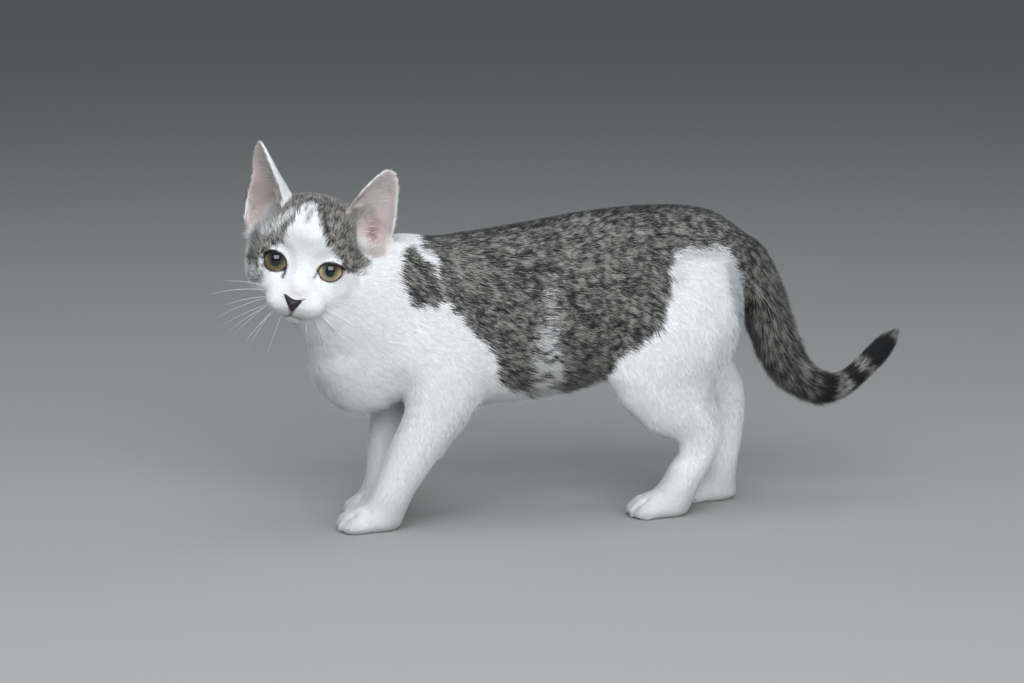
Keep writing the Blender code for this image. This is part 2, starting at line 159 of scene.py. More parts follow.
# The lids' opening on each eye, to the left and up square to the gaze, in mm
LIDS = {
    "left": (
        (-7.7, -1.7), (-7.0, 1.1), (-5.4, 3.0), (-3.2, 4.2), (-0.5, 4.6), (2.3, 4.5), (5.2, 3.6),
        (7.0, 2.4), (6.5, 0.0), (5.4, -2.5), (3.3, -4.7), (0.5, -5.9), (-2.4, -6.0), (-5.0, -4.8),
        (-6.7, -3.1),
    ),
    "right": (
        (-8.0, 2.4), (-5.7, 4.3), (-3.7, 4.8), (-1.9, 4.9), (1.0, 4.2), (3.4, 2.5), (5.2, 0.1),
        (5.8, -2.6), (5.5, -4.5), (3.1, -5.7), (0.2, -6.6), (-2.7, -6.4), (-5.1, -5.5), (-6.5, -3.5),
        (-7.2, -1.0),
    ),
}  # fmt: skip

# The tail's middle line, back and up in mm from the model's origin
TAIL_LINE = (
    (93.2, 166), (105.2, 156), (113.2, 141), (119.2, 123), (126.2, 104), (136.2, 86),
    (151.2, 74), (168.2, 73), (183.2, 83), (195.2, 95), (203.2, 104), (207.2, 109),
)  # fmt: skip
TAIL_MIDDLE = -4.6

# Outlines of the markings. On the head they are angles to the left and up from straight ahead
HEAD_MASK = (
    (66, 84), (74, 60), (76, 44), (72, 30), (80, 13), (76, 0), (69, -7), (60, -11), (49, -6.5), (42, -2),
    (37, 8), (28.5, 18), (21, 24), (15.5, 31.5), (11, 43), (5, 54), (0, 62), (-6, 70), (-13, 69), (-18, 62),
    (-19, 50), (-20.5, 39), (-23, 32), (-24.5, 21.5), (-27, 14), (-33, 9), (-38, 3), (-42, -4), (-41, -14),
    (-36, -20), (-35, -28), (-39, -36), (-50, -33), (-66, -26), (-80, -14), (-84, 2), (-80, 20), (-76, 40),
    (-70, 56), (-66, 84), (-45, 118), (0, 128), (45, 118),
)  # fmt: skip

# On the body they are places back and up in mm from the model's origin
TRUNK_MASK = (
    (-106, 200), (-106, 176), (-103, 171), (-98, 166.5), (-96, 160.5), (-94, 153.5), (-97, 143),
    (-91, 138), (-82, 127), (-75, 121.5), (-68.5, 115), (-64, 107), (-61.5, 99), (-59, 90), (-52, 84),
    (-36, 79), (-10, 80), (6, 86), (12.5, 93.5), (17, 103), (23, 108), (31, 113.5), (38.5, 122), (43.5, 134),
    (46.5, 145), (48, 158), (51, 166.5), (62, 168), (76, 169), (86, 165), (92, 157), (96, 147), (99, 128),
    (112, 112), (160, 90), (160, 220), (-106, 220),
)  # fmt: skip
NECK_PATCH = (
    (-118, 172), (-112, 174), (-106, 169), (-102, 163), (-99, 157), (-94, 151), (-94, 144), (-100, 138),
    (-109, 137), (-115, 139.5), (-119, 147), (-121, 160),
)  # fmt: skip
THIGH_MARGIN = ((84, 162), (100, 152), (108, 120), (102, 92), (92, 92), (90, 120), (84, 145))
PALE_STRIPE = ((-30, 154), (-33, 138), (-37, 122), (-38, 105), (-40, 76), (-20, 76), (-24, 113), (-25, 138))


def colour_setting(name, description, default):
    return FloatVectorProperty(name=name, description=description, default=default, subtype="COLOR")


class CatSettings(bpy.types.PropertyGroup):
    """Sizes and colours of the cat that a user would change."""

    skin_grid: FloatProperty(
        name="Skin grid", description="Size of the skin's faces", default=1.5 * MM, subtype="DISTANCE"
    )
    hair_length: FloatProperty(
        name="Hair length", description="Share of the usual length of the hair", default=1.0
    )
    hair_amount: FloatProperty(
        name="Hair amount", description="Share of the usual number of tufts", default=1.0
    )
    whisker_length: FloatProperty(
        name="Whisker length", description="Longest whisker", default=42 * MM, subtype="DISTANCE"
    )
    white: colour_setting("White", "Colour of the white hair", (0.82, 0.82, 0.82))
    tabby_light: colour_setting("Tabby, light", "Palest ticking", (0.35, 0.337, 0.314))
    tabby: colour_setting("Tabby", "Ground colour of the tabby hair", (0.080, 0.077, 0.071))
    tabby_dark: colour_setting("Tabby, dark", "Darkest spots and lines", (0.014, 0.014, 0.015))
    ear_pink: colour_setting("Ear, inside", "Bare skin in the ears", (0.62, 0.51, 0.51))
    rim_dark: colour_setting("Eye rims", "Bare skin round the eyes", (0.018, 0.012, 0.010))
    iris: colour_setting("Iris", "Colour of the eyes", (0.37, 0.295, 0.18))


def settings():
    return bpy.context.scene.cat_settings


def colours_of(*names):
    """The colours of these settings, as arrays."""
    return [np.array(getattr(settings(), name)) for name in names]


# Meshes and arrays


def object_from(bm, name):
    mesh = bpy.data.meshes.new(name)
    bm.to_mesh(mesh)
    bm.free()
    obj = bpy.data.objects.new(name, mesh)
    bpy.context.scene.collection.objects.link(obj)
    return obj


def applied(obj):
    """The object with its modifiers made part of its mesh."""
    bpy.context.view_layer.update()
    graph = bpy.context.evaluated_depsgraph_get()
    mesh = bpy.data.meshes.new_from_object(obj.evaluated_get(graph))
    obj.modifiers.clear()
    obj.data = mesh
    return obj


def made_piece(obj, material, replaced=()):
    """Gives a finished piece its material, fixes it to the body and hides the nodes that it replaces."""
    obj.data.materials.clear()
    obj.data.materials.append(material)
    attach(obj, BODY)
    if replaced:
        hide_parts(*replaced)
    return obj


def array_from(items, name, width=1, kind=np.float32):
    """One property of all these parts of a mesh, as an array."""
    found = np.empty(len(items) * width, kind)
    items.foreach_get(name, found)
    return found.reshape(-1, width) if width > 1 else found


def put_array(items, name, values, kind=np.float32):
    items.foreach_set(name, values.astype(kind).ravel())


def places_of(mesh):
    """The mesh's places in millimetres."""
    return array_from(mesh.vertices, "co", 3).astype(float) / MM


def set_places(mesh, places):
    put_array(mesh.vertices, "co", places * MM)
    mesh.update()


def normals_of(mesh):
    return array_from(mesh.vertex_normals, "vector", 3).astype(float)


def unit(vectors):
    return vectors / np.maximum(np.linalg.norm(vectors, axis=-1, keepdims=True), 1e-9)


def along_surface(vectors, normals):
    return unit(vectors - normals * (vectors * normals).sum(axis=1, keepdims=True))


def away_from(places, middle):
    return np.linalg.norm(places - np.array(middle), axis=1)


def eased(value):
    """0 below 0, 1 above 1 and a smooth step between them."""
    share = np.clip(value, 0.0, 1.0)
    return share * share * (3 - 2 * share)


def bell(value, half_width):
    """1 at 0, and nearly nothing two half widths away."""
    return np.exp(-((value / half_width) ** 2))


def bell_round(places, middle, reach):
    """1 at the middle, and nearly nothing at twice the reach from it."""
    return np.exp(-((places - np.array(middle)) ** 2).sum(axis=1) / reach**2)


def mixed(first, second, share):
    return first + (second - first) * np.asarray(share)[..., None]


class Net:
    """The edges of a mesh, to spread values from each place to its neighbours."""

    def __init__(self, mesh):
        self.starts, self.ends = array_from(mesh.edges, "vertices", 2, np.int32).T
        self.count = len(mesh.vertices)
        both = np.concatenate([self.starts, self.ends])
        self.degree = np.maximum(np.bincount(both, minlength=self.count), 1)

    def averaged(self, values):
        columns = []
        for column in values.reshape(self.count, -1).T:
            total = np.bincount(self.starts, column[self.ends], self.count)
            total += np.bincount(self.ends, column[self.starts], self.count)
            columns.append(total / self.degree)
        return np.stack(columns, axis=1).reshape(values.shape)

    def spread(self, values, passes):
        for _ in range(passes):
            values = values + (self.averaged(values) - values) * 0.5
        return values

    def spread_where(self, values, passes, where):
        for _ in range(passes):
            values = values + (self.averaged(values) - values) * 0.5 * where[:, None]
        return values

    def filled(self, places, normals, passes, where, inwards):
        """Smooths a surface, mostly outwards, so that creases fill while the rest of it stays."""
        for _ in range(passes):
            step = (self.averaged(places) - places) * 0.5
            goes_in = (step * normals).sum(axis=1) < 0
            places = places + step * (where * np.where(goes_in, inwards, 1.0))[:, None]
        return places

    def smoothed(self, places, passes, where=None):
        """Smooths a surface without shrinking it: each pass in is followed by one out."""
        where = 1.0 if where is None else where[:, None]
        for _ in range(passes):
            for share in (0.5, -0.52):
                places = places + (self.averaged(places) - places) * share * where
        return places


def noise(places, scale, seed=0):
    """Smooth random values from 0 to 1, with lumps of about this size in millimetres."""
    cells = places / scale + 1000.0
    base = np.floor(cells).astype(np.int64)
    share = cells - base
    share = share * share * (3 - 2 * share)
    total = np.zeros(len(places))
    for corner in itertools.product((0, 1), repeat=3):
        at = base + corner
        mix = at[:, 0] * 73856093 ^ at[:, 1] * 19349663 ^ at[:, 2] * 83492791 ^ (seed + 1) * 26544357
        mix = (mix ^ mix >> 13) * 1274126177 & 0xFFFFFFFF
        mix ^= mix >> 16
        weight = np.prod(np.where(corner, share, 1 - share), axis=1)
        total += weight * (mix & 0xFFFF) / 0xFFFF
    return total


def inside_by(places, outline):
    """How far each place, two numbers, is inside the closed outline. Outside it is negative."""
    corners = np.array(outline, float)
    nearest = np.full(len(places), np.inf)
    within = np.zeros(len(places), bool)
    for start, end in zip(corners, np.roll(corners, -1, axis=0)):
        run = end - start
        offset = places - start
        share = np.clip(offset @ run / (run @ run), 0, 1)
        nearest = np.minimum(nearest, np.linalg.norm(offset - share[:, None] * run, axis=1))
        passes = (start[1] > places[:, 1]) != (end[1] > places[:, 1])
        across = start[0] + (places[:, 1] - start[1]) * run[0] / (run[1] if run[1] else 1e-9)
        within ^= passes & (places[:, 0] < across)
    return np.where(within, nearest, -nearest)


def to_line(places, line):
    """How far each place is from a line of points, and how far along the line its nearest point is."""
    points = np.array(line, float)
    nearest = np.full(len(places), np.inf)
    along = np.zeros(len(places))
    done = 0.0
    for start, end in zip(points, points[1:]):
        run = end - start
        length = np.linalg.norm(run)
        share = np.clip((places - start) @ run / length**2, 0, 1)
        distance = np.linalg.norm(places - start - share[:, None] * run, axis=1)
        closer = distance < nearest
        nearest = np.where(closer, distance, nearest)
        along = np.where(closer, done + share * length, along)
        done += length
    return nearest, along


def to_head(places):
    """Places in the model's millimetres, along the head's axes."""
    matrix = np.array(HEAD.inverted())
    return places * MM @ matrix[:3, :3].T + matrix[:3, 3]


def from_head(places):
    matrix = np.array(HEAD) / MM
    return np.asarray(places, float) @ matrix[:3, :3].T + matrix[:3, 3]


def turned_from_head(vectors):
    matrix = np.array(HEAD.to_3x3().normalized())
    return np.asarray(vectors, float) @ matrix.T


def to_head_turn(vectors):
    matrix = np.array(HEAD.to_3x3().normalized())
    return vectors @ matrix


def angles_round_head(head):
    """Angles in degrees to the left and up from straight ahead, measured along great circles."""
    out = np.linalg.norm(head[:, 1:], axis=1)
    angle = np.degrees(np.arctan2(out, head[:, 0]))
    return head[:, 1:] * (angle / np.maximum(out, 1e-6))[:, None]


# The skin

# The surface: passes of smoothing, the head's reach in mm, where all faces stay, and the share kept behind it
CUT_CLOSING = 0.3  # mm that each node grows
WELD = 0.001  # mm within which a node's corners are one
SKIN_SMOOTHING = 6
HEAD_REACH = 78.0
SKIN_FACES_KEPT = 0.42

# Where the skin's faces are halved, along the head's axes in mm, and how far round it
FINE_FACE = ((22.0, 0.0, -8.0), 52.0)
FINE_MUZZLE = ((42.0, 0.0, -27.0), 15.0)
FINE_EYE_REACH = 17.0
FINE_EYE_AHEAD = 6.0
FACE_REACH = 75.0  # within which the fine faces are smoothed
FINE_SMOOTHING = 3

# Where creases are filled or smoothed: middle and reach in mm, and passes
JOINT_FILLING = 60
SOCKET_REACH = 26.0
SOCKET_FILLING = 24
THROAT = (2.0, -143.0, 118.0)
THROAT_REACH = 46.0
THROAT_SMOOTHING = 30
BRIDGE = (46.0, 0.0, -16.0)  # of the nose, along the head's axes
BRIDGE_REACH = 10.0
BRIDGE_FILLING = 12
BRIDGE_SMOOTHING = 10
ABOVE_NOSE = (45.2, 1.0, -14.2)  # along the head's axes
NOSE_TOP_REACH = 7.0
NOSE_TOP_SMOOTHING = 16

# Places where the legs' outlines are eased: middle and reach in mm, passes, and the share that goes inwards
EASED_PLACES = (
    ((22.0, 77.0, 79.0), 25.0, 150, 0.0),
    ((26.0, 59.0, 46.0), 17.0, 80, 1.0),
    ((28.0, 20.0, 72.0), 20.0, 40, 1.0),
)
HOLLOW_OF_KNEE = (22.0, 73.0, 80.0)
KNEE_REACH = 11.0
KNEE_FULLNESS = 3.2  # mm by which it is fuller

# The lids, in mm
LID_BED = 0.9  # by which the ball under the lids is larger than the eye
LID_FIELD = 17.0  # past the eye's edge, where the lids still change the skin
LID_LIFT = 1.1  # that the lids stand higher before the skin goes down under the hair
LID_THICKNESS = 0.9
LID_CREASE = 0.35  # depth of the crease in the upper lid
LID_CREASE_PLACE = 2.6  # outside the opening
LID_CREASE_HALF_WIDTH = 0.9
LID_FADE = 5.5  # outside the opening, over which the lid goes into the face
LID_FLOOR = 7.6  # ahead of the eye's middle, where the skin starts to rise to the brow and the nose
LID_REACH = 6.8  # over which it rises
LID_SINK = 1.8  # that the skin behind the opening lies inside the eye
LID_EDGE = 0.35  # half the width of the step at the opening

# The face is flattened along the gaze round an eye: by this share of what stands higher than this above
# the eye's middle, within this reach, less over the fade past it, and not at all at this height
CALM_SHARE = 0.46
CALM_ABOVE = 9.0
CALM_REACH = 11.0
CALM_FADE = 15.0
CALM_HEIGHT = 26.0

# Rings of skin round an eye's opening, in mm: where each starts, over what it fades in, and where it ends
FILLED_RING = (0.7, 1.2, 18.0)
RING_FILLING = 60  # passes
SMOOTHED_RINGS = ((10, (1.2, 0.8, 16.0)), (50, (2.2, 1.5, 16.0)))  # each after its passes
RING_FADE = 5.0
FAR_OFF = 40.0  # given as the distance of what is too far off to be measured

# The ears: faces of each sheet, where its inner half is wider (share of the height, half of that part, by
# what share), and the hollow (share of the height, mm outwards and ahead of the base; half its sizes)
EAR_SHEET_FACES = (26, 30)
EAR_WIDENINGS = {"left": (), "right": ((0.16, 0.13, 0.03), (0.46, 0.14, -0.12))}
EAR_HOLLOW = (0.13, 4.0, 4.0)
EAR_HOLLOW_SIZES = (16.5, 12.5, 12.0)
EAR_SMOOTHING = 5
EAR_BASE_SMOOTHING = 7

# The mouth: lines of places to the left and up on the front of the muzzle, in the head's mm
MOUTH_LINES = (
    ((-0.7, -26.8), (-1.4, -32.2)),
    ((-1.4, -32.2), (-4.0, -33.8), (-7.0, -34.7), (-11.0, -35.4)),
    ((-1.4, -32.2), (2.9, -33.6), (6.3, -35.2), (10.5, -36.0)),
)
MOUTH_WIDTH = 1.0
MOUTH_DEPTH = 1.0
MUZZLE_FRONT = 26.0  # ahead of the head's middle

# The toes' grooves: shares of the paw's width, and sizes in mm
TOE_GROOVES = (0.26, 0.5, 0.74)
TOE_LENGTH = 13.0
TOE_DEPTH = 2.0
TOE_WIDTH = 1.1
PAW_MARGIN = 2.0  # round a paw's box

TAIL_THINNING = 2.8  # mm that the skin lies deeper under the hair at the end of the tail
TAIL_STEP = 6.0  # mm along the tail to each side, over which its way is measured
HAIR_BLENDING = 24  # passes that blend the hair of two pieces of the body
GUIDE_SMOOTHING = 30  # passes that blend the ways that the hair lies
NOSE_PART = Vector((-8.0, 0.0, 0.0))  # from the nose's tip to where the hair of the head parts


def ear_line(side):
    """An ear's base, the way up it and its height, along the head's axes."""
    base, tip, _, _ = EARS[side]
    run = Vector(tip) - Vector(base)
    return Vector(base), run.normalized(), run.length


def ear_axes(side, rise):
    """Up, opening and sideways of the ear at this share of its height, along the head's axes."""
    _, up, _ = ear_line(side)
    _, _, turn, twist = EARS[side]
    facing = turn + twist * max(rise, 0.0)
    opening = Vector((math.cos(facing), SIDES[side] * math.sin(facing), 0.0))
    opening = (opening - up * opening.dot(up)).normalized()
    return up, opening, up.cross(opening)


def ear_half_width(rise):
    above = max(rise, 0.0)
    drawn_in = 1 + min(rise, 0.0)
    narrowing = max(1 - above**EAR_FULLNESS, 0.0) ** EAR_ROUNDNESS * drawn_in
    return EAR_TIP + (EAR_HALF_WIDTH - EAR_TIP) * narrowing


def ear_half_widths(rises):
    return np.array([ear_half_width(float(rise)) for rise in np.clip(rises, 0, 1)])


def ear_sheet(side):
    """A cupped sheet that narrows to a round tip, its root drawn in where it enters the head."""
    base, _, height = ear_line(side)
    columns, rows = EAR_SHEET_FACES
    bm = bmesh.new()
    bmesh.ops.create_grid(bm, x_segments=columns, y_segments=rows, size=1.0)
    for vert in bm.verts:
        rise = (vert.co.y + 1) / 2 * (1 + EAR_ROOT) - EAR_ROOT
        above = max(rise, 0.0)
        up, opening, sideways = ear_axes(side, rise)
        cup = EAR_CUP * (1 - above) * (1 + min(rise, 0.0)) + EAR_CUP_AT_TIP
        angle = vert.co.x * (math.pi / 2 + EAR_CURL * (1 - above) ** 2)
        width = ear_half_width(rise)
        if vert.co.x < 0:
            for place, half, wider in EAR_WIDENINGS[side]:
                width *= 1 + wider * math.exp(-(((rise - place) / half) ** 2))
        middle = base + up * height * rise
        vert.co = middle + sideways * width * math.sin(angle) - opening * cup * math.cos(angle)
    bmesh.ops.recalc_face_normals(bm, faces=bm.faces)
    bmesh.ops.transform(bm, matrix=HEAD, verts=bm.verts)
    sheet = object_from(bm, "ear")
    wall = sheet.modifiers.new("wall", "SOLIDIFY")
    wall.thickness = EAR_WALL * MM
    wall.offset = 0.0
    return applied(sheet)


def ear_place(head, side):
    """Each place's share of the ear's height, its place across the ear, from -1 at the inner margin to
    1 at the outer one, and the way that the ear's hollow faces."""
    base, up, height = ear_line(side)
    up = np.array(up)
    _, _, turn, twist = EARS[side]
    offset = head - np.array(base)
    rise = offset @ up / height
    facing = turn + twist * np.clip(rise, 0, 1)
    opening = np.stack([np.cos(facing), SIDES[side] * np.sin(facing), np.zeros(len(head))], axis=1)
    opening = unit(opening - np.outer(opening @ up, up))
    across = SIDES[side] * (offset * np.cross(up, opening)).sum(axis=1) / ear_half_widths(rise)
    return rise, across, opening


def inside_ear(normals_head, opening):
    """1 where the skin faces the way that an ear's hollow does."""
    return eased((normals_head * opening).sum(axis=1) / 0.3 + 0.3)


def share_of_ear(own):
    return eased(own * 1.6 - 0.3)


def in_ear_hollow(places, side):
    """Places from the middle of an ear's hollow, in halves of its sizes, and the way that it faces."""
    base, _, height = ear_line(side)
    up, opening, sideways = (turned_from_head(np.array(axis)) for axis in ear_axes(side, 0.1))
    rise, across, ahead = EAR_HOLLOW
    middle = from_head(np.array(base)[None])[0] + up * height * rise
    middle += sideways * SIDES[side] * across + opening * ahead
    axes = np.stack([opening, sideways, up], axis=1)
    return (places - middle) @ axes / np.array(EAR_HOLLOW_SIZES), opening


def with_ear_hollow(places, side):
    """Pushes what fills the cup of an ear back to the wall of a rounded hollow."""
    offset, opening = in_ear_hollow(places, side)
    beside = (offset[:, 1:] ** 2).sum(axis=1)
    wall = -np.sqrt(np.maximum(1 - beside, 0.0))
    inside = (beside < 1) & (offset[:, 0] > wall) & (offset[:, 0] < 1.2)
    push = np.where(inside, (wall - offset[:, 0]) * EAR_HOLLOW_SIZES[0], 0.0)
    return places + push[:, None] * opening


def eye_centre(side):
    lowest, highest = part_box(f"eye_{side}")
    return (lowest + highest) / 2


def eye_sight(places, side):
    """Places seen along the gaze from in front of an eye, in mm: to the left, up and towards the viewer."""
    look = np.array(GAZE)
    left = np.cross((0.0, 0.0, 1.0), look)
    left /= np.linalg.norm(left)
    axes = turned_from_head(np.array((left, np.cross(look, left), look)))
    return (places - np.array(eye_centre(side)) / MM) @ axes.T, axes


def lid_outline(side, steps=3):
    """The opening between the lids, as a smooth closed line through its points."""
    points = np.array(LIDS[side])
    before, after, beyond = (np.roll(points, shift, axis=0) for shift in (1, -1, -2))
    found = []
    for share in np.arange(steps) / steps:
        bend = (2 * before - 5 * points + 4 * after - beyond) * share**2
        turn = (3 * points - before - 3 * after + beyond) * share**3
        found.append(points + ((after - before) * share + bend + turn) / 2)
    return np.stack(found, axis=1).reshape(-1, 2)


def ways_out(outline):
    """The ways out of an eye to the points of an outline that is seen from in front."""
    flat = outline / EYE_RADIUS
    ahead = np.sqrt(np.maximum(1 - (flat**2).sum(axis=1), 0.02))
    return unit(np.concatenate([flat, ahead[:, None]], axis=1))


def with_lids(places, normals, side, lift=0.0):
    """Draws the skin round an eye into two lids and sinks what lies behind the eye, along the gaze."""
    seen, axes = eye_sight(places, side)
    out = np.linalg.norm(seen[:, :2], axis=1)
    near = (out < EYE_RADIUS + LID_FIELD) & (seen[:, 2] > -2) & (normals @ axes[2] > -0.5)
    at, out = seen[near], out[near]
    depth = inside_by(at[:, :2], lid_outline(side))
    ball = np.sqrt(np.maximum(EYE_RADIUS**2 - out**2, 0.0))
    round_ball = (EYE_RADIUS + LID_THICKNESS + lift) ** 2 - np.minimum(out, EYE_RADIUS) ** 2
    crease = LID_CREASE * bell(depth + LID_CREASE_PLACE, LID_CREASE_HALF_WIDTH)
    lid = np.sqrt(round_ball) - crease * eased((at[:, 1] - 2.5) / 2)
    raised = at[:, 2] + np.maximum(lid - at[:, 2], 0) * (1 - eased(-(depth + 1.0) / LID_FADE))
    calm = (1 - eased((out - CALM_REACH) / CALM_FADE)) * (1 - eased(at[:, 1] / CALM_HEIGHT))
    raised = raised - CALM_SHARE * np.maximum(raised - CALM_ABOVE, 0) * calm
    floor = np.minimum(np.maximum(lid, LID_FLOOR), np.maximum(raised, lid))
    ramp = np.clip(-(depth + 0.6) / LID_REACH, 0, 1)
    ramp = (ramp + eased(ramp)) / 2
    outside = floor + (raised - floor) * ramp
    behind = ball - LID_SINK
    edge = np.clip((depth + LID_EDGE) / (2 * LID_EDGE), 0, 1)
    level = outside + (behind - outside) * edge
    moved = places.copy()
    moved[near] += (level - at[:, 2])[:, None] * axes[2]
    return moved


def eye_opening(places, side):
    """How far inside the lids' opening each place is, in mm, and well below zero where it is elsewhere."""
    seen, _ = eye_sight(places, side)
    near = (np.linalg.norm(seen, axis=1) < 2.4 * EYE_RADIUS) & (seen[:, 2] > 0)
    depth = np.full(len(places), -FAR_OFF)
    depth[near] = inside_by(seen[near, :2], lid_outline(side))
    return depth


def eye_ring(places, side, start, fade, reach):
    """1 on a ring of the skin round an eye's opening, 0 elsewhere."""
    depth = eye_opening(places, side)
    return eased((-depth - start) / fade) * eased((depth + reach) / RING_FADE)


def mouth_distance(head):
    """How far each place on the muzzle is from the mouth's lines, in mm."""
    nearest = np.full(len(head), FAR_OFF)
    front = head[:, 0] > MUZZLE_FRONT
    for line in MOUTH_LINES:
        distance, _ = to_line(head[front][:, 1:], line)
        nearest[front] = np.minimum(nearest[front], distance)
    return nearest


def nearest_pieces(places):
    """The number in FLESH of the piece that each place belongs to."""
    points = []
    for number, name in enumerate(FLESH):
        mesh = frame["nodes"][name].data
        points += [(vert.co, number) for vert in mesh.vertices]
        points += [(face.center, number) for face in mesh.polygons]
    tree = KDTree(len(points))
    for point, number in points:
        tree.insert(point, number)
    tree.balance()
    return np.array([tree.find(place)[1] for place in places * MM])


def kind_of(name):
    """The row of the hair tables that a node's name belongs to."""
    for side in SIDES:
        name = name.replace(f"_{side}", "")
    return name.rstrip("_1234")


def flesh_copy():
    """The nodes of flesh as one mesh, each grown a little so that the thin cuts between them close."""
    whole = bmesh.new()
    for name in FLESH:
        if name.startswith("ear"):
            continue
        part = bmesh.new()
        part.from_mesh(frame["nodes"][name].data)
        bmesh.ops.remove_doubles(part, verts=part.verts, dist=WELD * MM)
        part.normal_update()
        for vert in part.verts:
            vert.co += vert.normal * CUT_CLOSING * MM
        mesh = bpy.data.meshes.new(name)
        part.to_mesh(mesh)
        part.free()
        whole.from_mesh(mesh)
        bpy.data.meshes.remove(mesh)
    for side in SIDES:
        sheet = ear_sheet(side)
        whole.from_mesh(sheet.data)
        bpy.data.objects.remove(sheet, do_unlink=True)
        radius = (EYE_RADIUS + LID_BED) * MM
        place = Matrix.Translation(eye_centre(side))
        bmesh.ops.create_uvsphere(whole, u_segments=24, v_segments=16, radius=radius, matrix=place)
    return whole


def largest_shell(mesh):
    """Removes loose bubbles that the cuts left inside the body."""
    bm = bmesh.new()
    bm.from_mesh(mesh)
    left = set(bm.verts)
    shells = []
    while left:
        grown = {left.pop()}
        shell = set(grown)
        while grown:
            near = {edge.other_vert(vert) for vert in grown for edge in vert.link_edges}
            grown = near - shell
            shell |= grown
        left -= shell
        shells.append(shell)
    biggest = max(shells, key=len)
    loose = [vert for shell in shells if shell is not biggest for vert in shell]
    bmesh.ops.delete(bm, geom=loose, context="VERTS")
    bm.to_mesh(mesh)
    bm.free()


def paw_boxes():
    """The lowest and highest corners of each paw, in mm."""
    for name in FLESH:
        if "paw" in name:
            yield [np.array(corner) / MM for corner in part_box(name)]


def near_toes(places):
    found = np.zeros(len(places), bool)
    for low, high in paw_boxes():
        highest = (high[0] + PAW_MARGIN, low[1] + TOE_LENGTH + 3, high[2])
        found |= np.all((places > low - PAW_MARGIN) & (places < highest), axis=1)
    return found


def toe_dents(places):
    """How deep the grooves between the toes are, in mm."""
    dents = np.zeros(len(places))
    for low, high in paw_boxes():
        width = high[0] - low[0]
        inside = np.all((places > low - PAW_MARGIN) & (places < high + PAW_MARGIN), axis=1)
        front = eased((low[1] + TOE_LENGTH - places[:, 1]) / 4) * eased((places[:, 2] - 1.0) / 2)
        for share in TOE_GROOVES:
            beside = places[:, 0] - (low[0] + width * share)
            dents = np.maximum(dents, inside * front * TOE_DEPTH * bell(beside, TOE_WIDTH))
    return dents


def finer_places():
    """The places round which the skin's faces are halved, and how far round."""
    ahead, sideways, above = EYE_PLACE
    eyes = [(ahead + FINE_EYE_AHEAD, way * sideways, above) for way in SIDES.values()]
    return [FINE_FACE, *((eye, FINE_EYE_REACH) for eye in eyes), FINE_MUZZLE]


def finer(mesh, middle, reach):
    """Halves the faces within reach of the middle, in the head's millimetres."""
    bm = bmesh.new()
    bm.from_mesh(mesh)
    to_axes = HEAD.inverted()
    faces = [f for f in bm.faces if (to_axes @ f.calc_center_median() - Vector(middle)).length < reach]
    edges = list({edge for face in faces for edge in face.edges})
    bmesh.ops.subdivide_edges(bm, edges=edges, cuts=1, use_grid_fill=True)
    bm.to_mesh(mesh)
    bm.free()


def with_hollows_filled(places, normals, net):
    """Fills the creases over the joints between the body's pieces, the eye sockets and the nose's bridge."""
    labels = nearest_pieces(places)
    differ = labels[net.starts] != labels[net.ends]
    joint = np.zeros(len(places))
    joint[net.starts[differ]] = 1.0
    joint[net.ends[differ]] = 1.0
    joint = np.clip(net.spread(joint, 24) * 5, 0, 1)
    head = to_head(places)
    joint *= eased((np.linalg.norm(head, axis=1) - 44) / 12)
    places = net.filled(places, normals, JOINT_FILLING, joint, 0.3)
    sockets = np.zeros(len(places))
    for side in SIDES:
        away = away_from(places, np.array(eye_centre(side)) / MM)
        sockets = np.maximum(sockets, eased((SOCKET_REACH - away) / 5))
    sockets *= eased((head[:, 0] - 6) / 6)
    places = net.filled(places, normals, SOCKET_FILLING, sockets, 0.0)
    bridge = eased((BRIDGE_REACH - away_from(head, BRIDGE)) / 3)
    places = net.filled(places, normals, BRIDGE_FILLING, bridge, 0.2)
    return net.spread_where(places, BRIDGE_SMOOTHING, bridge)


def with_legs_eased(places, normals, net):
    for middle, reach, passes, inwards in EASED_PLACES:
        near = eased((reach - away_from(places, middle)) / (reach * 0.4))
        places = net.filled(places, normals, passes, near, inwards)
    behind = eased(normals[:, 1] / 0.5) * (places[:, 0] > 5)
    fuller = KNEE_FULLNESS * bell(away_from(places, HOLLOW_OF_KNEE), KNEE_REACH) * behind
    return places + normals * fuller[:, None]


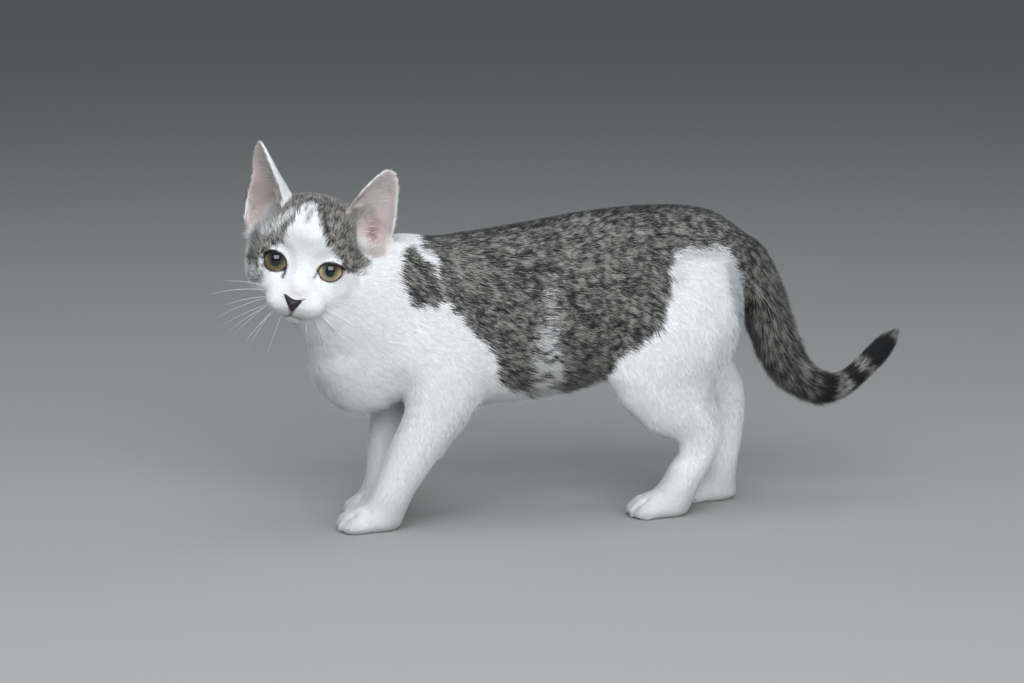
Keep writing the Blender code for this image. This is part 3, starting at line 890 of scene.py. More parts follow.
class SkinFields:
    """What the coat and the colours need to know at each place of the skin."""

    def __init__(self, mesh):
        net = Net(mesh)
        self.places = places_of(mesh)
        self.normals = normals_of(mesh)
        self.head = to_head(self.places)
        self.labels = nearest_pieces(self.places)
        kinds = np.array([kind_of(name) for name in FLESH])[self.labels]
        hair = np.array([HAIR[kind] for kind in HAIR])
        rows = np.array([list(HAIR).index(kind) for kind in kinds])
        self.hair = net.spread(hair[rows], HAIR_BLENDING)
        self.ears = {}
        for side in SIDES:
            own = np.array([name == f"ear_{side}" for name in FLESH])[self.labels]
            offset, opening = in_ear_hollow(self.places, side)
            hollow = (np.linalg.norm(offset, axis=1) < 1.15) & (self.normals @ opening > -0.1)
            self.ears[side] = net.spread((own | hollow).astype(float), 3)
        self.guide = self.lie(kinds, net)

    def lie(self, kinds, net):
        """The way that the hair lies at each place."""
        guide = np.zeros((len(kinds), 3))
        for kind, way in LIE.items():
            guide[kinds == kind] = way
        from_nose = turned_from_head(unit(self.head - np.array(NOSE_TIP) - np.array(NOSE_PART)))
        on_head = np.isin(kinds, ("head", "muzzle"))
        guide[on_head] = from_nose[on_head]
        for side in SIDES:
            up = np.array(ear_axes(side, 0.0)[0])
            _, _, opening = ear_place(self.head, side)
            on_ear = self.ears[side] > 0.5
            guide[on_ear] = turned_from_head(up)
            inner = on_ear & ((to_head_turn(self.normals) * opening).sum(axis=1) > 0.1)
            outwards = SIDES[side] * np.cross(up, opening) + 0.45 * up
            guide[inner] = turned_from_head(outwards)[inner]
        for place, way, _, _ in EAR_FRINGES.values():
            near = bell_round(self.head, place, FRINGE_REACH)[:, None]
            guide = guide + near * 3 * turned_from_head(np.array(way))
        tail = kinds == "tail"
        guide[tail, 1:] = self.along_tail()[tail]
        guide[tail, 0] = 0
        guide = along_surface(guide, self.normals)
        for _ in range(GUIDE_SMOOTHING):
            guide = along_surface(net.averaged(guide) * 0.6 + guide * 0.4, self.normals)
        return guide

    def along_tail(self):
        """The way along the tail's line beside each place: back and up."""
        line = np.array(TAIL_LINE)
        _, along = to_line(self.places[:, 1:], line)
        lengths = np.concatenate([[0], np.cumsum(np.linalg.norm(np.diff(line, axis=0), axis=1))])
        ahead, behind = (
            np.stack([np.interp(along + step, lengths, column) for column in line.T], axis=1)
            for step in (TAIL_STEP, -TAIL_STEP)
        )
        return unit(ahead - behind)


def one_surface(grid):
    """The flesh as one surface of even faces, with fewer of them behind the head."""
    skin = object_from(flesh_copy(), "skin")
    remesh = skin.modifiers.new("one_surface", "REMESH")
    remesh.mode = "VOXEL"
    remesh.voxel_size = grid
    applied(skin)
    mesh = skin.data
    largest_shell(mesh)
    set_places(mesh, Net(mesh).smoothed(places_of(mesh), SKIN_SMOOTHING))
    behind = skin.vertex_groups.new(name="behind_head")
    places = places_of(mesh)
    far = (np.linalg.norm(to_head(places), axis=1) > HEAD_REACH) & ~near_toes(places)
    behind.add(np.flatnonzero(far).tolist(), 1.0, "REPLACE")
    fewer = skin.modifiers.new("fewer_faces_behind", "DECIMATE")
    fewer.ratio = SKIN_FACES_KEPT
    fewer.vertex_group = behind.name
    applied(skin)
    skin.vertex_groups.clear()
    return skin


def fill_surface(mesh):
    """Eases the creases of the flesh and lays a first pair of lids over each eye."""
    net = Net(mesh)
    normals = normals_of(mesh)
    places = with_hollows_filled(places_of(mesh), normals, net)
    places = with_legs_eased(places, normals, net)
    for side in SIDES:
        places = with_lids(places, normals, side, LID_LIFT)
        ring = eye_ring(places, side, *FILLED_RING)
        places = net.filled(places, normals, RING_FILLING, ring, 0.0)
    set_places(mesh, places)


def refine_face(mesh):
    """Halves the faces of the face, and smooths it and the throat."""
    for middle, reach in finer_places():
        finer(mesh, middle, reach)
    net = Net(mesh)
    places = places_of(mesh)
    on_throat = eased((THROAT_REACH - away_from(places, THROAT)) / 15)
    places = net.spread_where(places, THROAT_SMOOTHING, on_throat)
    in_front = eased((np.linalg.norm(to_head(places), axis=1) - FACE_REACH) / -10)
    set_places(mesh, net.smoothed(places, FINE_SMOOTHING, in_front))
    return net


def under_hair(fields, net):
    """The skin's places, sunk by the depth of the hair that stands on them."""
    depth = net.spread(fields.hair[:, 2], 6)
    _, along = to_line(fields.places[:, 1:], TAIL_LINE)
    _, on_tail = tail_markings(fields.places)
    depth = depth + TAIL_THINNING * on_tail * eased((along - 95) / 45)
    on_ear = np.clip(sum(fields.ears.values()), 0, 1)
    return fields.places - fields.normals * (depth + CUT_CLOSING * (1 - on_ear))[:, None]


def with_ears_hollowed(places, fields, net):
    """Hollows both ears and smooths what was moved, most of all at their bases."""
    for side in SIDES:
        places = with_ear_hollow(places, side)
    in_ears = net.spread((np.abs(places - fields.places).max(axis=1) > 2.5).astype(float), 4)
    in_ears = np.clip(in_ears * 3, 0, 1)
    places = net.smoothed(places, EAR_SMOOTHING, in_ears)
    head = to_head(places)
    low = np.max([eased((0.4 - ear_place(head, side)[0]) / 0.15) for side in SIDES], axis=0)
    return net.spread_where(places, EAR_BASE_SMOOTHING, in_ears * low)


def with_face_finished(places, normals, net):
    """Makes the lids, smooths the skin round them and above the nose, and presses in the mouth and toes."""
    for side in SIDES:
        places = with_lids(places, normals, side)
    for passes, ring in SMOOTHED_RINGS:
        both = np.maximum(*(eye_ring(places, side, *ring) for side in SIDES))
        places = net.spread_where(places, passes, both)
    nose_top = eased((NOSE_TOP_REACH - away_from(to_head(places), ABOVE_NOSE)) / 3)
    places = net.spread_where(places, NOSE_TOP_SMOOTHING, nose_top)
    dent = MOUTH_DEPTH * bell(mouth_distance(to_head(places)), MOUTH_WIDTH)
    return places - normals * (dent + toe_dents(places))[:, None]


def build_skin():
    skin = one_surface(settings().skin_grid)
    mesh = skin.data
    fill_surface(mesh)
    net = refine_face(mesh)
    fields = SkinFields(mesh)
    places = with_ears_hollowed(under_hair(fields, net), fields, net)
    places = with_face_finished(places, fields.normals, net)
    places[:, 2] = np.maximum(places[:, 2], 0.0)
    set_places(mesh, places)
    mesh.shade_smooth()
    return skin


def unwrap(obj):
    view = bpy.context.view_layer
    for other in view.objects:
        other.select_set(False)
    obj.select_set(True)
    view.objects.active = obj
    bpy.ops.object.mode_set(mode="EDIT")
    bpy.ops.mesh.select_all(action="SELECT")
    bpy.ops.uv.smart_project(angle_limit=math.radians(66), island_margin=0.002)
    bpy.ops.object.mode_set(mode="OBJECT")


# Colours

# The tabby's tone: the size of its flecks, lumps and grain in mm, how much each changes it, and its level
TABBY_NOISES = ((1.4, 1.35, 1.8), (5.0, 4.0, 6.0), (0.7, 0.7, 0.7))
TABBY_WEIGHTS = (1.30, 0.20, 0.40)
TABBY_LEVEL = 0.96
HEAD_LUMPS = 0.25  # how much more the lumps change the tone on the head
HEAD_CONTRAST = 1.2
TICKING = 0.36  # how much darker or paler single tufts are

BAR_WIDTH = 8.0  # mm from one dark bar on the trunk to the next
BAR_STRENGTH = 0.16
BACK_LINE = (9.0, 145.0, 0.42)  # its half width and lowest place in mm, and how much darker it is
EAR_FRONTS = ((8.0, 24.0, 20.0), (8.0, -24.0, 20.0))  # along the head's axes, where the tabby is brown
EAR_FRONT_REACH = 15.0
EAR_FRONT_BROWN = (0.17, 0.14, 0.10)
MASK_SOFTNESS = 7.5  # degrees over which the head's tabby fades out
TRUNK_SOFTNESS = 6.0  # mm over which the trunk's tabby fades out

# Where white hair mixes with the tabby, as angles: the line, its half width and the share of white
PALE_PLACES = (
    (((-44, -24), (-62, -30)), 8.0, 0.55),
    (((-31, 46), (-40, 31), (-47, 22), (-59, 16)), 9.5, 0.54),
    (((27, 18), (36, 6)), 5.0, 0.3),
)

# Dark streaks on the head, as angles to the left and up: the line, its half width and its strength
HEAD_STREAKS = (
    (((14, 60), (15.7, 48), (18.5, 40), (18, 30)), 2.6, 1.1),
    (((-22, 75), (-22, 62), (-24, 50)), 3.0, 0.55),
    (((-36, 86), (-14, 82), (8, 77), (30, 80)), 9.5, 0.75),
    (((-66, -23), (-56, -15), (-48, -10)), 2.3, 1.8),
    (((44, -1), (59, -10)), 1.8, 0.9),
    (((-40, 22), (-52, 12)), 3.0, 0.15),
    (((30, 30), (42, 14)), 3.0, 0.45),
    (((27, 62), (30, 50)), 3.5, 0.4),
)

# The same on the white of the forehead: the line and its half width
BLAZE_STREAKS = (
    (((-4.5, 60), (-5.3, 44)), 3.2),
    (((-13, 66), (-12, 58)), 2.4),
    (((15.7, 48), (18, 31)), 2.4),
)

# Rings and cap of the tail: place along it and half length in mm, and how much darker they are
TAIL_RINGS = (
    (44, 3, 0.10), (64, 3, 0.12), (84, 3, 0.14), (104, 3.5, 0.2), (121, 5, 1.1), (131, 4, -0.2),
    (141, 4.5, 1.1), (150, 3, -0.2), (164, 10, 1.5), (182, 6, -0.1),
)  # fmt: skip

# The deepest part of each ear, darker pink skin with the canal's shade painted over it: share of its height,
# half of that part, place across, half of that, colour
EAR_CANALS = {"left": (0.04, 0.15, 0.52, 0.22), "right": (-0.02, 0.17, 0.9, 0.22)}
EAR_CANAL_SHADE = {"left": (0.22, 0.11, 0.10), "right": (0.46, 0.33, 0.33)}
CANAL_STRENGTH = 0.85
EAR_BROWN = (0.50, 0.46, 0.44)  # of the bare skin towards the ear's tip
EAR_HAIR = (0.84, 0.80, 0.77)
RIGHT_EAR_PINK = 0.84  # level of the right ear's pink
EAR_RIM_PLACE = {"left": 0.86, "right": 0.94}  # across the ear

# Long hair at the front of the ears' bases: its place and the way it lies along the head's axes, its colour
# and how much longer it is in mm
EAR_FRINGES = {
    "left": ((0.0, 24.0, 15.0), (-0.35, 0.75, 0.55), (0.50, 0.47, 0.43), 4.2),
    "right": ((10.0, -27.0, 12.0), (-0.35, -0.55, 0.75), (0.70, 0.69, 0.68), 4.2),
    "left_top": ((-3.5, 22.5, 23.5), (-0.35, 0.65, 0.65), (0.40, 0.37, 0.33), 4.2),
    "right_base": ((1.0, -35.0, -2.5), (-0.1, -0.3, -0.9), (0.76, 0.76, 0.76), 1.8),
}
FRINGE_REACH = 7.0

PAW_SHADE = 0.16  # how much darker the white is at the ground
PAW_SHADE_HEIGHT = (34.0, 22.0)  # mm above the ground where the shade starts, and over which it grows
THIGH_EDGE_SHADE = (0.36, 0.385, 0.40)  # of the white hair at the thigh's rear edge, greyed there as painted shade
NOSE_BRIDGE = (-1.0, 5.5, -16.0, 3.5)  # the pink above the nose: place and half size to the left, and up
SKIN_SHADE_LEVEL = 0.92  # how much darker the skin is than its hair: painted shade under the hair, with a darker undercoat
# The mouth's dark line: the lips' own dark edge, with painted shade in the crease
MOUTH_COLOUR = (0.12, 0.11, 0.10)

# Short lines on the face, to the left and up in the head's mm, with their colour and half width
FACE_LINES = (
    (((-10.0, -8.4), (-9.8, -10.2), (-10.4, -12.2)), (0.03, 0.026, 0.03), 1.05),
    (((9.5, -5.4), (8.9, -6.6), (7.8, -8.8)), (0.24, 0.19, 0.22), 0.7),
)


def tabby_colours(places, head, spots, ticking=0.0):
    """Tabby hair: a ground colour, ticked paler and darker, with dark bars and a dark line along the back."""
    light, ground, dark = colours_of("tabby_light", "tabby", "tabby_dark")
    on_head = eased((60 - np.linalg.norm(head, axis=1)) / 10)
    at = places * (1 - 0.06 * on_head)[:, None]
    fleck, lump, fine = (noise(at, np.array(size), seed) for seed, size in enumerate(TABBY_NOISES, 1))
    flecks, lumps, grain = TABBY_WEIGHTS
    tone = flecks * fleck + (lumps + HEAD_LUMPS * on_head) * lump + grain * fine - TABBY_LEVEL
    tone = tone - 0.03 * on_head + ticking * (1 + on_head)
    wave = places[:, 1] + 5 * (noise(places, 24.0, 4) - 0.5) * 2
    bars = np.sin(wave * 2 * math.pi / BAR_WIDTH)
    broken = noise(places, np.array((6.0, 6.0, 8.0)), 5)
    tone -= BAR_STRENGTH * eased((bars + 0.1) / 0.8) * eased((broken - 0.25) / 0.3) * (1 - on_head)
    half_width, lowest, darker = BACK_LINE
    line = bell(places[:, 0] - TAIL_MIDDLE, half_width) * eased((places[:, 2] - lowest) / 20)
    tone -= darker * line * (1 - on_head)
    tone = tone * (1 + HEAD_CONTRAST * on_head) - spots
    near_ear = sum(bell_round(head, place, EAR_FRONT_REACH) for place in EAR_FRONTS)
    ground = mixed(ground, np.array(EAR_FRONT_BROWN), np.clip(near_ear, 0, 1) * 0.8)
    colours = mixed(ground, light, eased(tone / 0.28))
    return mixed(colours, dark, eased(-tone / 0.26))


def head_markings(head, places):
    """The share of tabby hair on the head, and how much darker its streaks are."""
    round_head = angles_round_head(head)
    ragged = np.stack([noise(places, 2.4, seed) for seed in (6, 7)], axis=1) - 0.5
    at = round_head + ragged * 7
    mask = eased(inside_by(at, HEAD_MASK) / MASK_SOFTNESS + 0.5)
    for line, width, share in PALE_PLACES:
        distance, _ = to_line(round_head, line)
        mask = mask * (1 - share * bell(distance, width))
    spots = np.zeros(len(head))
    for line, width, strength in HEAD_STREAKS:
        distance, _ = to_line(round_head + ragged * 3, line)
        spots = np.maximum(spots, strength * bell(distance, width))
    return mask, spots


def body_markings(places):
    """The share of tabby hair on the trunk, of the pale stripe on its flank, and of the painted grey shade at
    the thigh's rear edge.
    """
    back, up = places[:, 1], places[:, 2]
    ragged, drift = (
        np.stack([noise(places, size, seed) for seed in seeds], axis=1) - 0.5
        for size, seeds in ((5.0, (8, 9)), (40.0, (10, 11)))
    )
    other_side = eased((-4 - places[:, 0]) / 12)
    at = places[:, 1:] + ragged * 5 + drift * 22 * other_side[:, None]
    mask = np.maximum(inside_by(at, TRUNK_MASK), inside_by(at, NECK_PATCH))
    stripe = eased(inside_by(at, PALE_STRIPE) / 9 + 0.5) * (0.45 + 0.75 * eased((132 - up) / 36))
    stripe = stripe * eased((noise(places, np.array((4.0, 3.0, 2.5)), 12) - 0.2) / 0.4)
    wisps = noise(places, np.array((6.0, 7.0, 2.5)), 14) - 0.25
    # Painted shade: a grey wash on the white along the thigh's rear edge, which also carries a thin fringe of
    # tabby
    wash = eased(inside_by(at, THIGH_MARGIN) / 8 + 0.5)
    on_thigh = eased((back - 45) / 12) * eased((up - 140) / 12)
    wash = np.maximum(wash, 0.75 * on_thigh * bell(mask + 4, 4))
    fringe = 0.3 * wash * (1 - 0.6 * on_thigh) * eased(wisps / 0.3)
    tabby = eased(mask / (TRUNK_SOFTNESS + 4 * on_thigh) + 0.5)
    return np.maximum(tabby, fringe), stripe, wash


def tail_markings(places):
    """How much darker the tail's rings and cap are."""
    away, along = to_line(places[:, 1:], TAIL_LINE)
    on_tail = eased((26 - away) / 6) * eased((along - 6) / 8) * eased((places[:, 1] - 98) / 10)
    along = along + (noise(places, 5.0, 13) - 0.5) * 4
    dark = np.zeros(len(places))
    for middle, half, strength in TAIL_RINGS:
        dark += strength * eased((half - np.abs(along - middle)) / 2.5 + 0.5)
    return dark, on_tail


def ear_canal(rise, across, side):
    height, half_height, place, half_width = EAR_CANALS[side]
    return np.exp(-(((rise - height) / half_height) ** 2) - ((across - place) / half_width) ** 2)


def ear_colours(head, normals_head, side, hair):
    """Colours on an ear: hair outside, nearly bare skin inside with long pale hair across it."""
    white, ground, light, pink = colours_of("white", "tabby", "tabby_light", "ear_pink")
    right = side == "right"
    rise, across, opening = ear_place(head, side)
    grey = ground * 1.6
    outside = np.broadcast_to(white if right else mixed(grey, light, 0.4), head.shape)
    if right:
        pink = pink * RIGHT_EAR_PINK
    # Darker pink skin deep in the canal, with the canal's shade painted over it
    skin = mixed(pink, np.array(EAR_CANAL_SHADE[side]), CANAL_STRENGTH * ear_canal(rise, across, side))
    skin = mixed(skin, np.array(EAR_BROWN), eased((rise - 0.45) / 0.4) * 0.7)
    margin = eased((-0.62 - across) / 0.15) * eased((0.75 - rise) / 0.3)
    above_tufts = eased((rise - 0.22) / 0.15)
    if right:
        skin = mixed(skin, white * 0.8, margin * 0.8 * (1 - above_tufts))
        skin = mixed(skin, grey, margin * 0.9 * above_tufts)
    else:
        skin = mixed(skin, grey, margin * 0.75)
    rim = eased((np.abs(across) - EAR_RIM_PLACE[side]) / 0.08)
    skin = mixed(skin, white * 0.85, rim * 0.7 * (1 - margin))
    if hair:
        skin = mixed(skin, np.array(EAR_HAIR), 0.75 * (1 - 0.6 * margin))
    if right:
        ahead = ((head - np.array(EARS[side][0])) * opening).sum(axis=1)
        tufts = eased((0.5 - across) / 0.2) * eased((0.30 - rise) / 0.14)
        lobe = eased((ahead - 0.8) / 1.2) * eased((across - 0.95) / 0.06) * eased((0.45 - rise) / 0.2)
        lobe = np.maximum(lobe, tufts * (0.35 + 0.65 * eased(noise(head, 2.2, 15) * 2 - 0.5)))
    else:
        lobe = eased((0.02 - rise) / 0.12) * (across < 0.35)
    skin = mixed(skin, white, lobe * 0.85)
    return mixed(outside, skin, inside_ear(normals_head, opening))


def with_face_colours(colours, head):
    """Adds the pink above the nose and the short lines on the face."""
    white, pink = colours_of("white", "ear_pink")
    sideways, half_width, up, half_height = NOSE_BRIDGE
    bridge = ((head[:, 1] - sideways) / half_width) ** 2 + ((head[:, 2] - up) / half_height) ** 2
    bridge = np.exp(-bridge) * (head[:, 0] > 30)
    colours = mixed(colours, mixed(white, pink, 0.6), 0.6 * bridge)
    for line, colour, width in FACE_LINES:
        distance, _ = to_line(head[:, 1:], line)
        share = bell(distance, width) * (head[:, 0] > 18)
        colours = mixed(colours, np.array(colour), share)
    return colours


def coat_colours(places, normals, ears, chance=None, ahead=None):
    """The colours of the coat at these places, in the model's millimetres. A tuft takes its share of white
    from its root, by its own chance, and its tabby from the places ahead that it covers."""
    white, dark = colours_of("white", "tabby_dark")
    hair = chance is not None
    ahead = ahead if hair else places
    head, covered, normals_head = to_head(places), to_head(ahead), to_head_turn(normals)
    on_head, _ = head_markings(head, places)
    on_body, stripe, wash = body_markings(places)
    _, tail_share = tail_markings(places)
    head_share = eased((58 - np.linalg.norm(head, axis=1)) / 6)
    mask = on_head * head_share + on_body * (1 - head_share)
    mask = np.maximum(mask, tail_share)
    if hair:
        mask = eased((mask - 0.12 - 0.76 * chance) / 0.16 + 0.5)
        stripe = eased((stripe - chance) / 0.14 + 0.5)
    _, spots = head_markings(covered, ahead)
    rings, _ = tail_markings(ahead)
    ticking = TICKING * (2 * np.abs(2 * ((7.3 * chance) % 1) - 1) - 1) if hair else 0.0
    tabby = tabby_colours(ahead, covered, spots * head_share + rings * tail_share, ticking)
    tabby = mixed(tabby, white * 0.80, 0.9 * stripe * (1 - head_share) * (1 - tail_share))
    # The grey on the white at the thigh's rear edge is painted shade
    wash = 0.7 * wash * (1 - head_share) * (1 - tail_share)
    colours = mixed(mixed(white, np.array(THIGH_EDGE_SHADE), wash), tabby, mask)
    highest, over = PAW_SHADE_HEIGHT
    colours = colours * (1 - PAW_SHADE * eased((highest - places[:, 2]) / over))[:, None]
    for place, _, colour, _ in EAR_FRINGES.values():
        near = bell_round(head, place, FRINGE_REACH)
        colours = mixed(colours, np.array(colour), near * (0.75 if hair else 0.4))
    angles = angles_round_head(covered)
    for line, width in BLAZE_STREAKS:
        distance, _ = to_line(angles, line)
        share = bell(distance, width) * head_share * (head[:, 0] > 0) * 0.7
        share = share * eased((noise(ahead, np.array((0.9, 0.9, 2.5)), 16) - 0.2) / 0.3)
        colours = mixed(colours, dark * 1.6, share)
    colours = with_face_colours(colours, head)
    for side in SIDES:
        ear = ear_colours(head, normals_head, side, hair)
        colours = mixed(colours, ear, share_of_ear(ears[side]))
    return colours


def skin_colours(fields):
    # The skin shows between the tufts: the coat's colours, darkened as painted shade under the hair
    colours = coat_colours(fields.places, fields.normals, fields.ears) * SKIN_SHADE_LEVEL
    # The mouth's dark line, the lips' own dark edge with painted shade in its crease
    line = bell(mouth_distance(fields.head), 1.5)
    colours = mixed(colours, np.array(MOUTH_COLOUR), 0.8 * line)
    (rim,) = colours_of("rim_dark")
    for side in SIDES:
        opening = eye_opening(fields.places, side)
        colours = mixed(colours, rim, eased((opening + 1.1) / 0.5))
    return colours


def set_colours(mesh, colours):
    layer = mesh.color_attributes.new(name="coat_colour", type="FLOAT_COLOR", domain="POINT")
    put_array(layer.data, "color", np.concatenate([colours, np.ones((len(colours), 1))], axis=1))
    mesh.color_attributes.active_color = layer


# Materials

# The iris from its middle outwards: place as a share of the eye's radius, and tint of the iris's colour
IRIS_STOPS = (
    (0.0, (0.16, 0.25, 0.32)),
    (0.38, (0.22, 0.31, 0.38)),
    (0.50, (0.52, 0.60, 0.56)),
    (0.61, (0.95, 0.95, 0.9)),
    (0.69, (1.25, 1.1, 1.0)),
    (0.75, (0.62, 0.5, 0.48)),
    (0.80, (0.07, 0.06, 0.08)),
)
# How bright each eye's iris is painted: the right one darker as painted shade, since it lies on the shaded
# side, and the left one a little lighter as painted light
IRIS_PAINTED_LIGHT = {"left": 1.05, "right": 0.40}
PUPIL_HALF = (2.65, 3.3)  # half its width and height in mm
PUPIL_PLACE = (0.5 - 0.65 / (2 * EYE_RADIUS), 0.5, 0.0)  # on the map of the gaze
PUPIL_BLACK = (0.002, 0.002, 0.003, 1.0)


def new_material(name, inputs):
    """A material of one shader with these inputs, and that shader."""
    found = bpy.data.materials.new(name)
    found.use_nodes = True
    found.node_tree.nodes.clear()
    output = add_node(found, "ShaderNodeOutputMaterial")
    shader = add_node(found, "ShaderNodeBsdfPrincipled", inputs)
    link(found, shader.outputs["BSDF"], output, "Surface")
    return found, shader


def add_node(material, kind, inputs=(), **values):
    """A new node with these settings, whose inputs take a value or another node's output."""
    node = material.node_tree.nodes.new(kind)
    for name, value in values.items():
        setattr(node, name, value)
    for name, value in dict(inputs).items():
        if isinstance(value, bpy.types.NodeSocket):
            material.node_tree.links.new(value, node.inputs[name])
        else:
            node.inputs[name].default_value = value
    return node


def link(material, output, shader, name):
    material.node_tree.links.new(output, shader.inputs[name])


def vector_step(material, operation, *inputs):
    """The output of one step of arithmetic on vectors."""
    node = add_node(material, "ShaderNodeVectorMath", enumerate(inputs), operation=operation)
    return node.outputs["Value" if operation == "LENGTH" else "Vector"]


def scaled(material, vector, factor):
    """A node that makes a vector longer by a number or by another node's output."""
    return add_node(
        material, "ShaderNodeVectorMath", {0: vector, "Scale": factor}, operation="SCALE"
    ).outputs["Vector"]


def in_range(material, value, lowest, highest, low, high):
    """A node's output, eased from low to high between two of its values."""
    inputs = {"Value": value, "From Min": lowest, "From Max": highest, "To Min": low, "To Max": high}
    node = add_node(material, "ShaderNodeMapRange", inputs, interpolation_type="SMOOTHSTEP")
    return node.outputs["Result"]


def bumped(material, shader, height, strength, distance):
    """Raises the surface by a node's output, over a distance in mm."""
    inputs = {"Height": height, "Strength": strength, "Distance": distance * MM}
    link(material, add_node(material, "ShaderNodeBump", inputs).outputs["Normal"], shader, "Normal")


def coat_material(name, roughness, bump, sheen):
    """Hair: its colour from the piece's own attribute, a little uneven, with a fine grain."""
    material, shader = new_material(
        name,
        {
            "Roughness": roughness,
            "Sheen Weight": sheen,
            "Sheen Roughness": 0.5,
            "Specular IOR Level": 0.25,
        },
    )
    colour = add_node(material, "ShaderNodeAttribute", attribute_name="coat_colour")
    place = add_node(material, "ShaderNodeTexCoord").outputs["Object"]
    grain = add_node(material, "ShaderNodeTexNoise", {"Vector": place, "Scale": 1400.0, "Detail": 2.0})
    level = add_node(
        material, "ShaderNodeMapRange", {"Value": grain.outputs["Fac"], "To Min": 0.84, "To Max": 1.12}
    )
    link(material, scaled(material, colour.outputs["Color"], level.outputs["Result"]), shader, "Base Color")
    if bump:
        bumped(material, shader, grain.outputs["Fac"], bump, 0.3)
    return material


def plain_material(name, colour, roughness, coat, grain):
    """A slightly uneven colour with a fine bumpy grain, for bare skin and whiskers."""
    material, shader = new_material(
        name, {"Roughness": roughness, "Coat Weight": coat, "Coat Roughness": 0.2}
    )
    place = add_node(material, "ShaderNodeTexCoord").outputs["Object"]
    spots = add_node(material, "ShaderNodeTexVoronoi", {"Vector": place, "Scale": grain})
    uneven = add_node(material, "ShaderNodeTexNoise", {"Vector": place, "Scale": grain * 0.2, "Detail": 3.0})
    darker, paler = ((*(np.array(colour) * share), 1.0) for share in (0.7, 1.3))
    blend = add_node(
        material, "ShaderNodeMix", {0: uneven.outputs["Fac"], 6: darker, 7: paler}, data_type="RGBA"
    )
    link(material, blend.outputs[2], shader, "Base Color")
    bumped(material, shader, spots.outputs["Distance"], 0.5, 0.15)
    return material


def eye_material(side):
    """An olive and amber iris with an upright pupil and a dark outer ring, under a clear wet front."""
    material, shader = new_material(
        f"eye_{side}",
        {
            "Roughness": 0.5,
            "Coat Weight": 1.0,
            "Coat Roughness": 0.02,
            "Coat IOR": 1.58,
            "Specular IOR Level": 0.05,
        },
    )
    place = add_node(material, "ShaderNodeUVMap", uv_map="gaze")
    middle = vector_step(material, "SUBTRACT", place.outputs["UV"], PUPIL_PLACE)
    flat = scaled(material, middle, 2 * EYE_RADIUS)
    radius = vector_step(material, "LENGTH", flat)
    rays = vector_step(material, "NORMALIZE", flat)
    fibres = add_node(material, "ShaderNodeTexNoise", {"Vector": rays, "Scale": 9.0, "Detail": 4.0})
    uneven = {0: fibres.outputs["Fac"], 1: 0.9, 2: radius}
    uneven = add_node(material, "ShaderNodeMath", uneven, operation="MULTIPLY_ADD").outputs["Value"]
    share = add_node(material, "ShaderNodeMath", {0: uneven, 1: 1 / EYE_RADIUS}, operation="MULTIPLY")
    ramp = add_node(material, "ShaderNodeValToRGB", {"Fac": share.outputs["Value"]})
    ramp.color_ramp.interpolation = "EASE"
    stops = ramp.color_ramp.elements
    (iris,) = colours_of("iris")
    for number, (position, tint) in enumerate(IRIS_STOPS):
        stop = stops[number] if number < 2 else stops.new(position)
        stop.position = position
        # each stop is scaled by its eye's painted light or shade
        stop.color = (*(iris * IRIS_PAINTED_LIGHT[side] * tint), 1.0)
    oval = vector_step(material, "MULTIPLY", flat, (1 / PUPIL_HALF[0], 1 / PUPIL_HALF[1], 0.0))
    edge = in_range(material, vector_step(material, "LENGTH", oval), 0.92, 1.08, 0.0, 1.0)
    painted = {0: edge, 6: PUPIL_BLACK, 7: ramp.outputs["Color"]}
    painted = add_node(material, "ShaderNodeMix", painted, data_type="RGBA").outputs[2]
    height = add_node(material, "ShaderNodeSeparateXYZ", {"Vector": flat}).outputs["Y"]
    lid_shade = in_range(material, height, -1.2, 3.6, 1.0, 0.06)
    link(material, scaled(material, painted, lid_shade), shader, "Base Color")
    return material


# The coat

COAT_SEED = 5
CLUMP_SIZE = 7.0  # mm over which tufts lean the same way
ROOT_SINK = 0.25  # mm of a tuft's root under the skin
OFBAKE_PATCH = 0.0015  # half the size of a tuft's patch on the unwrap
TUFT_SWAY = 0.07  # how far a tuft bends sideways, as a share of its length
TUFT_FLATNESS = 0.6  # its depth as a share of its width
LOWEST_HAIR = 0.1  # mm above the floor
FACE_HAIR = (1.9, 0.042)  # length at the nose in mm, and how much longer with each mm from it
FACE_PIECE_FRONT = 14.0  # mm ahead of the head's middle, where the coat's face piece starts

# Where hair stands out, in mm: a line behind the left elbow, back and up, and places at the knee and, along
# the head's axes, under the right ear
ELBOW_FRINGE = ((-72.0, 58.0), (-60.0, 72.0), (-34.0, 78.0), (-8.0, 84.0))
KNEE = (22.0, 80.0, 91.0)
TEMPLE = (9.0, -33.0, 1.0)

EYE_HAIR = 9.0  # mm from the lids over which the hair grows to its usual length
EAR_COAT_LENGTH = 2.6  # mm, of the hair outside the ears

# The hair inside the ears: tufts per square mm, and sizes in mm
EAR_HAIR_SHARE = 2.1
EAR_HAIR_LENGTH = 9.0
EAR_HAIR_WIDTH = 0.36
EAR_HAIR_STAND = 1.5
RIGHT_EAR_HAIR = 0.6  # length in the right ear, as a share of that in the left one
EAR_FLUFF = (0.1, 0.24, 3.4)  # on the back of the right ear: its place up it, half of that, mm longer


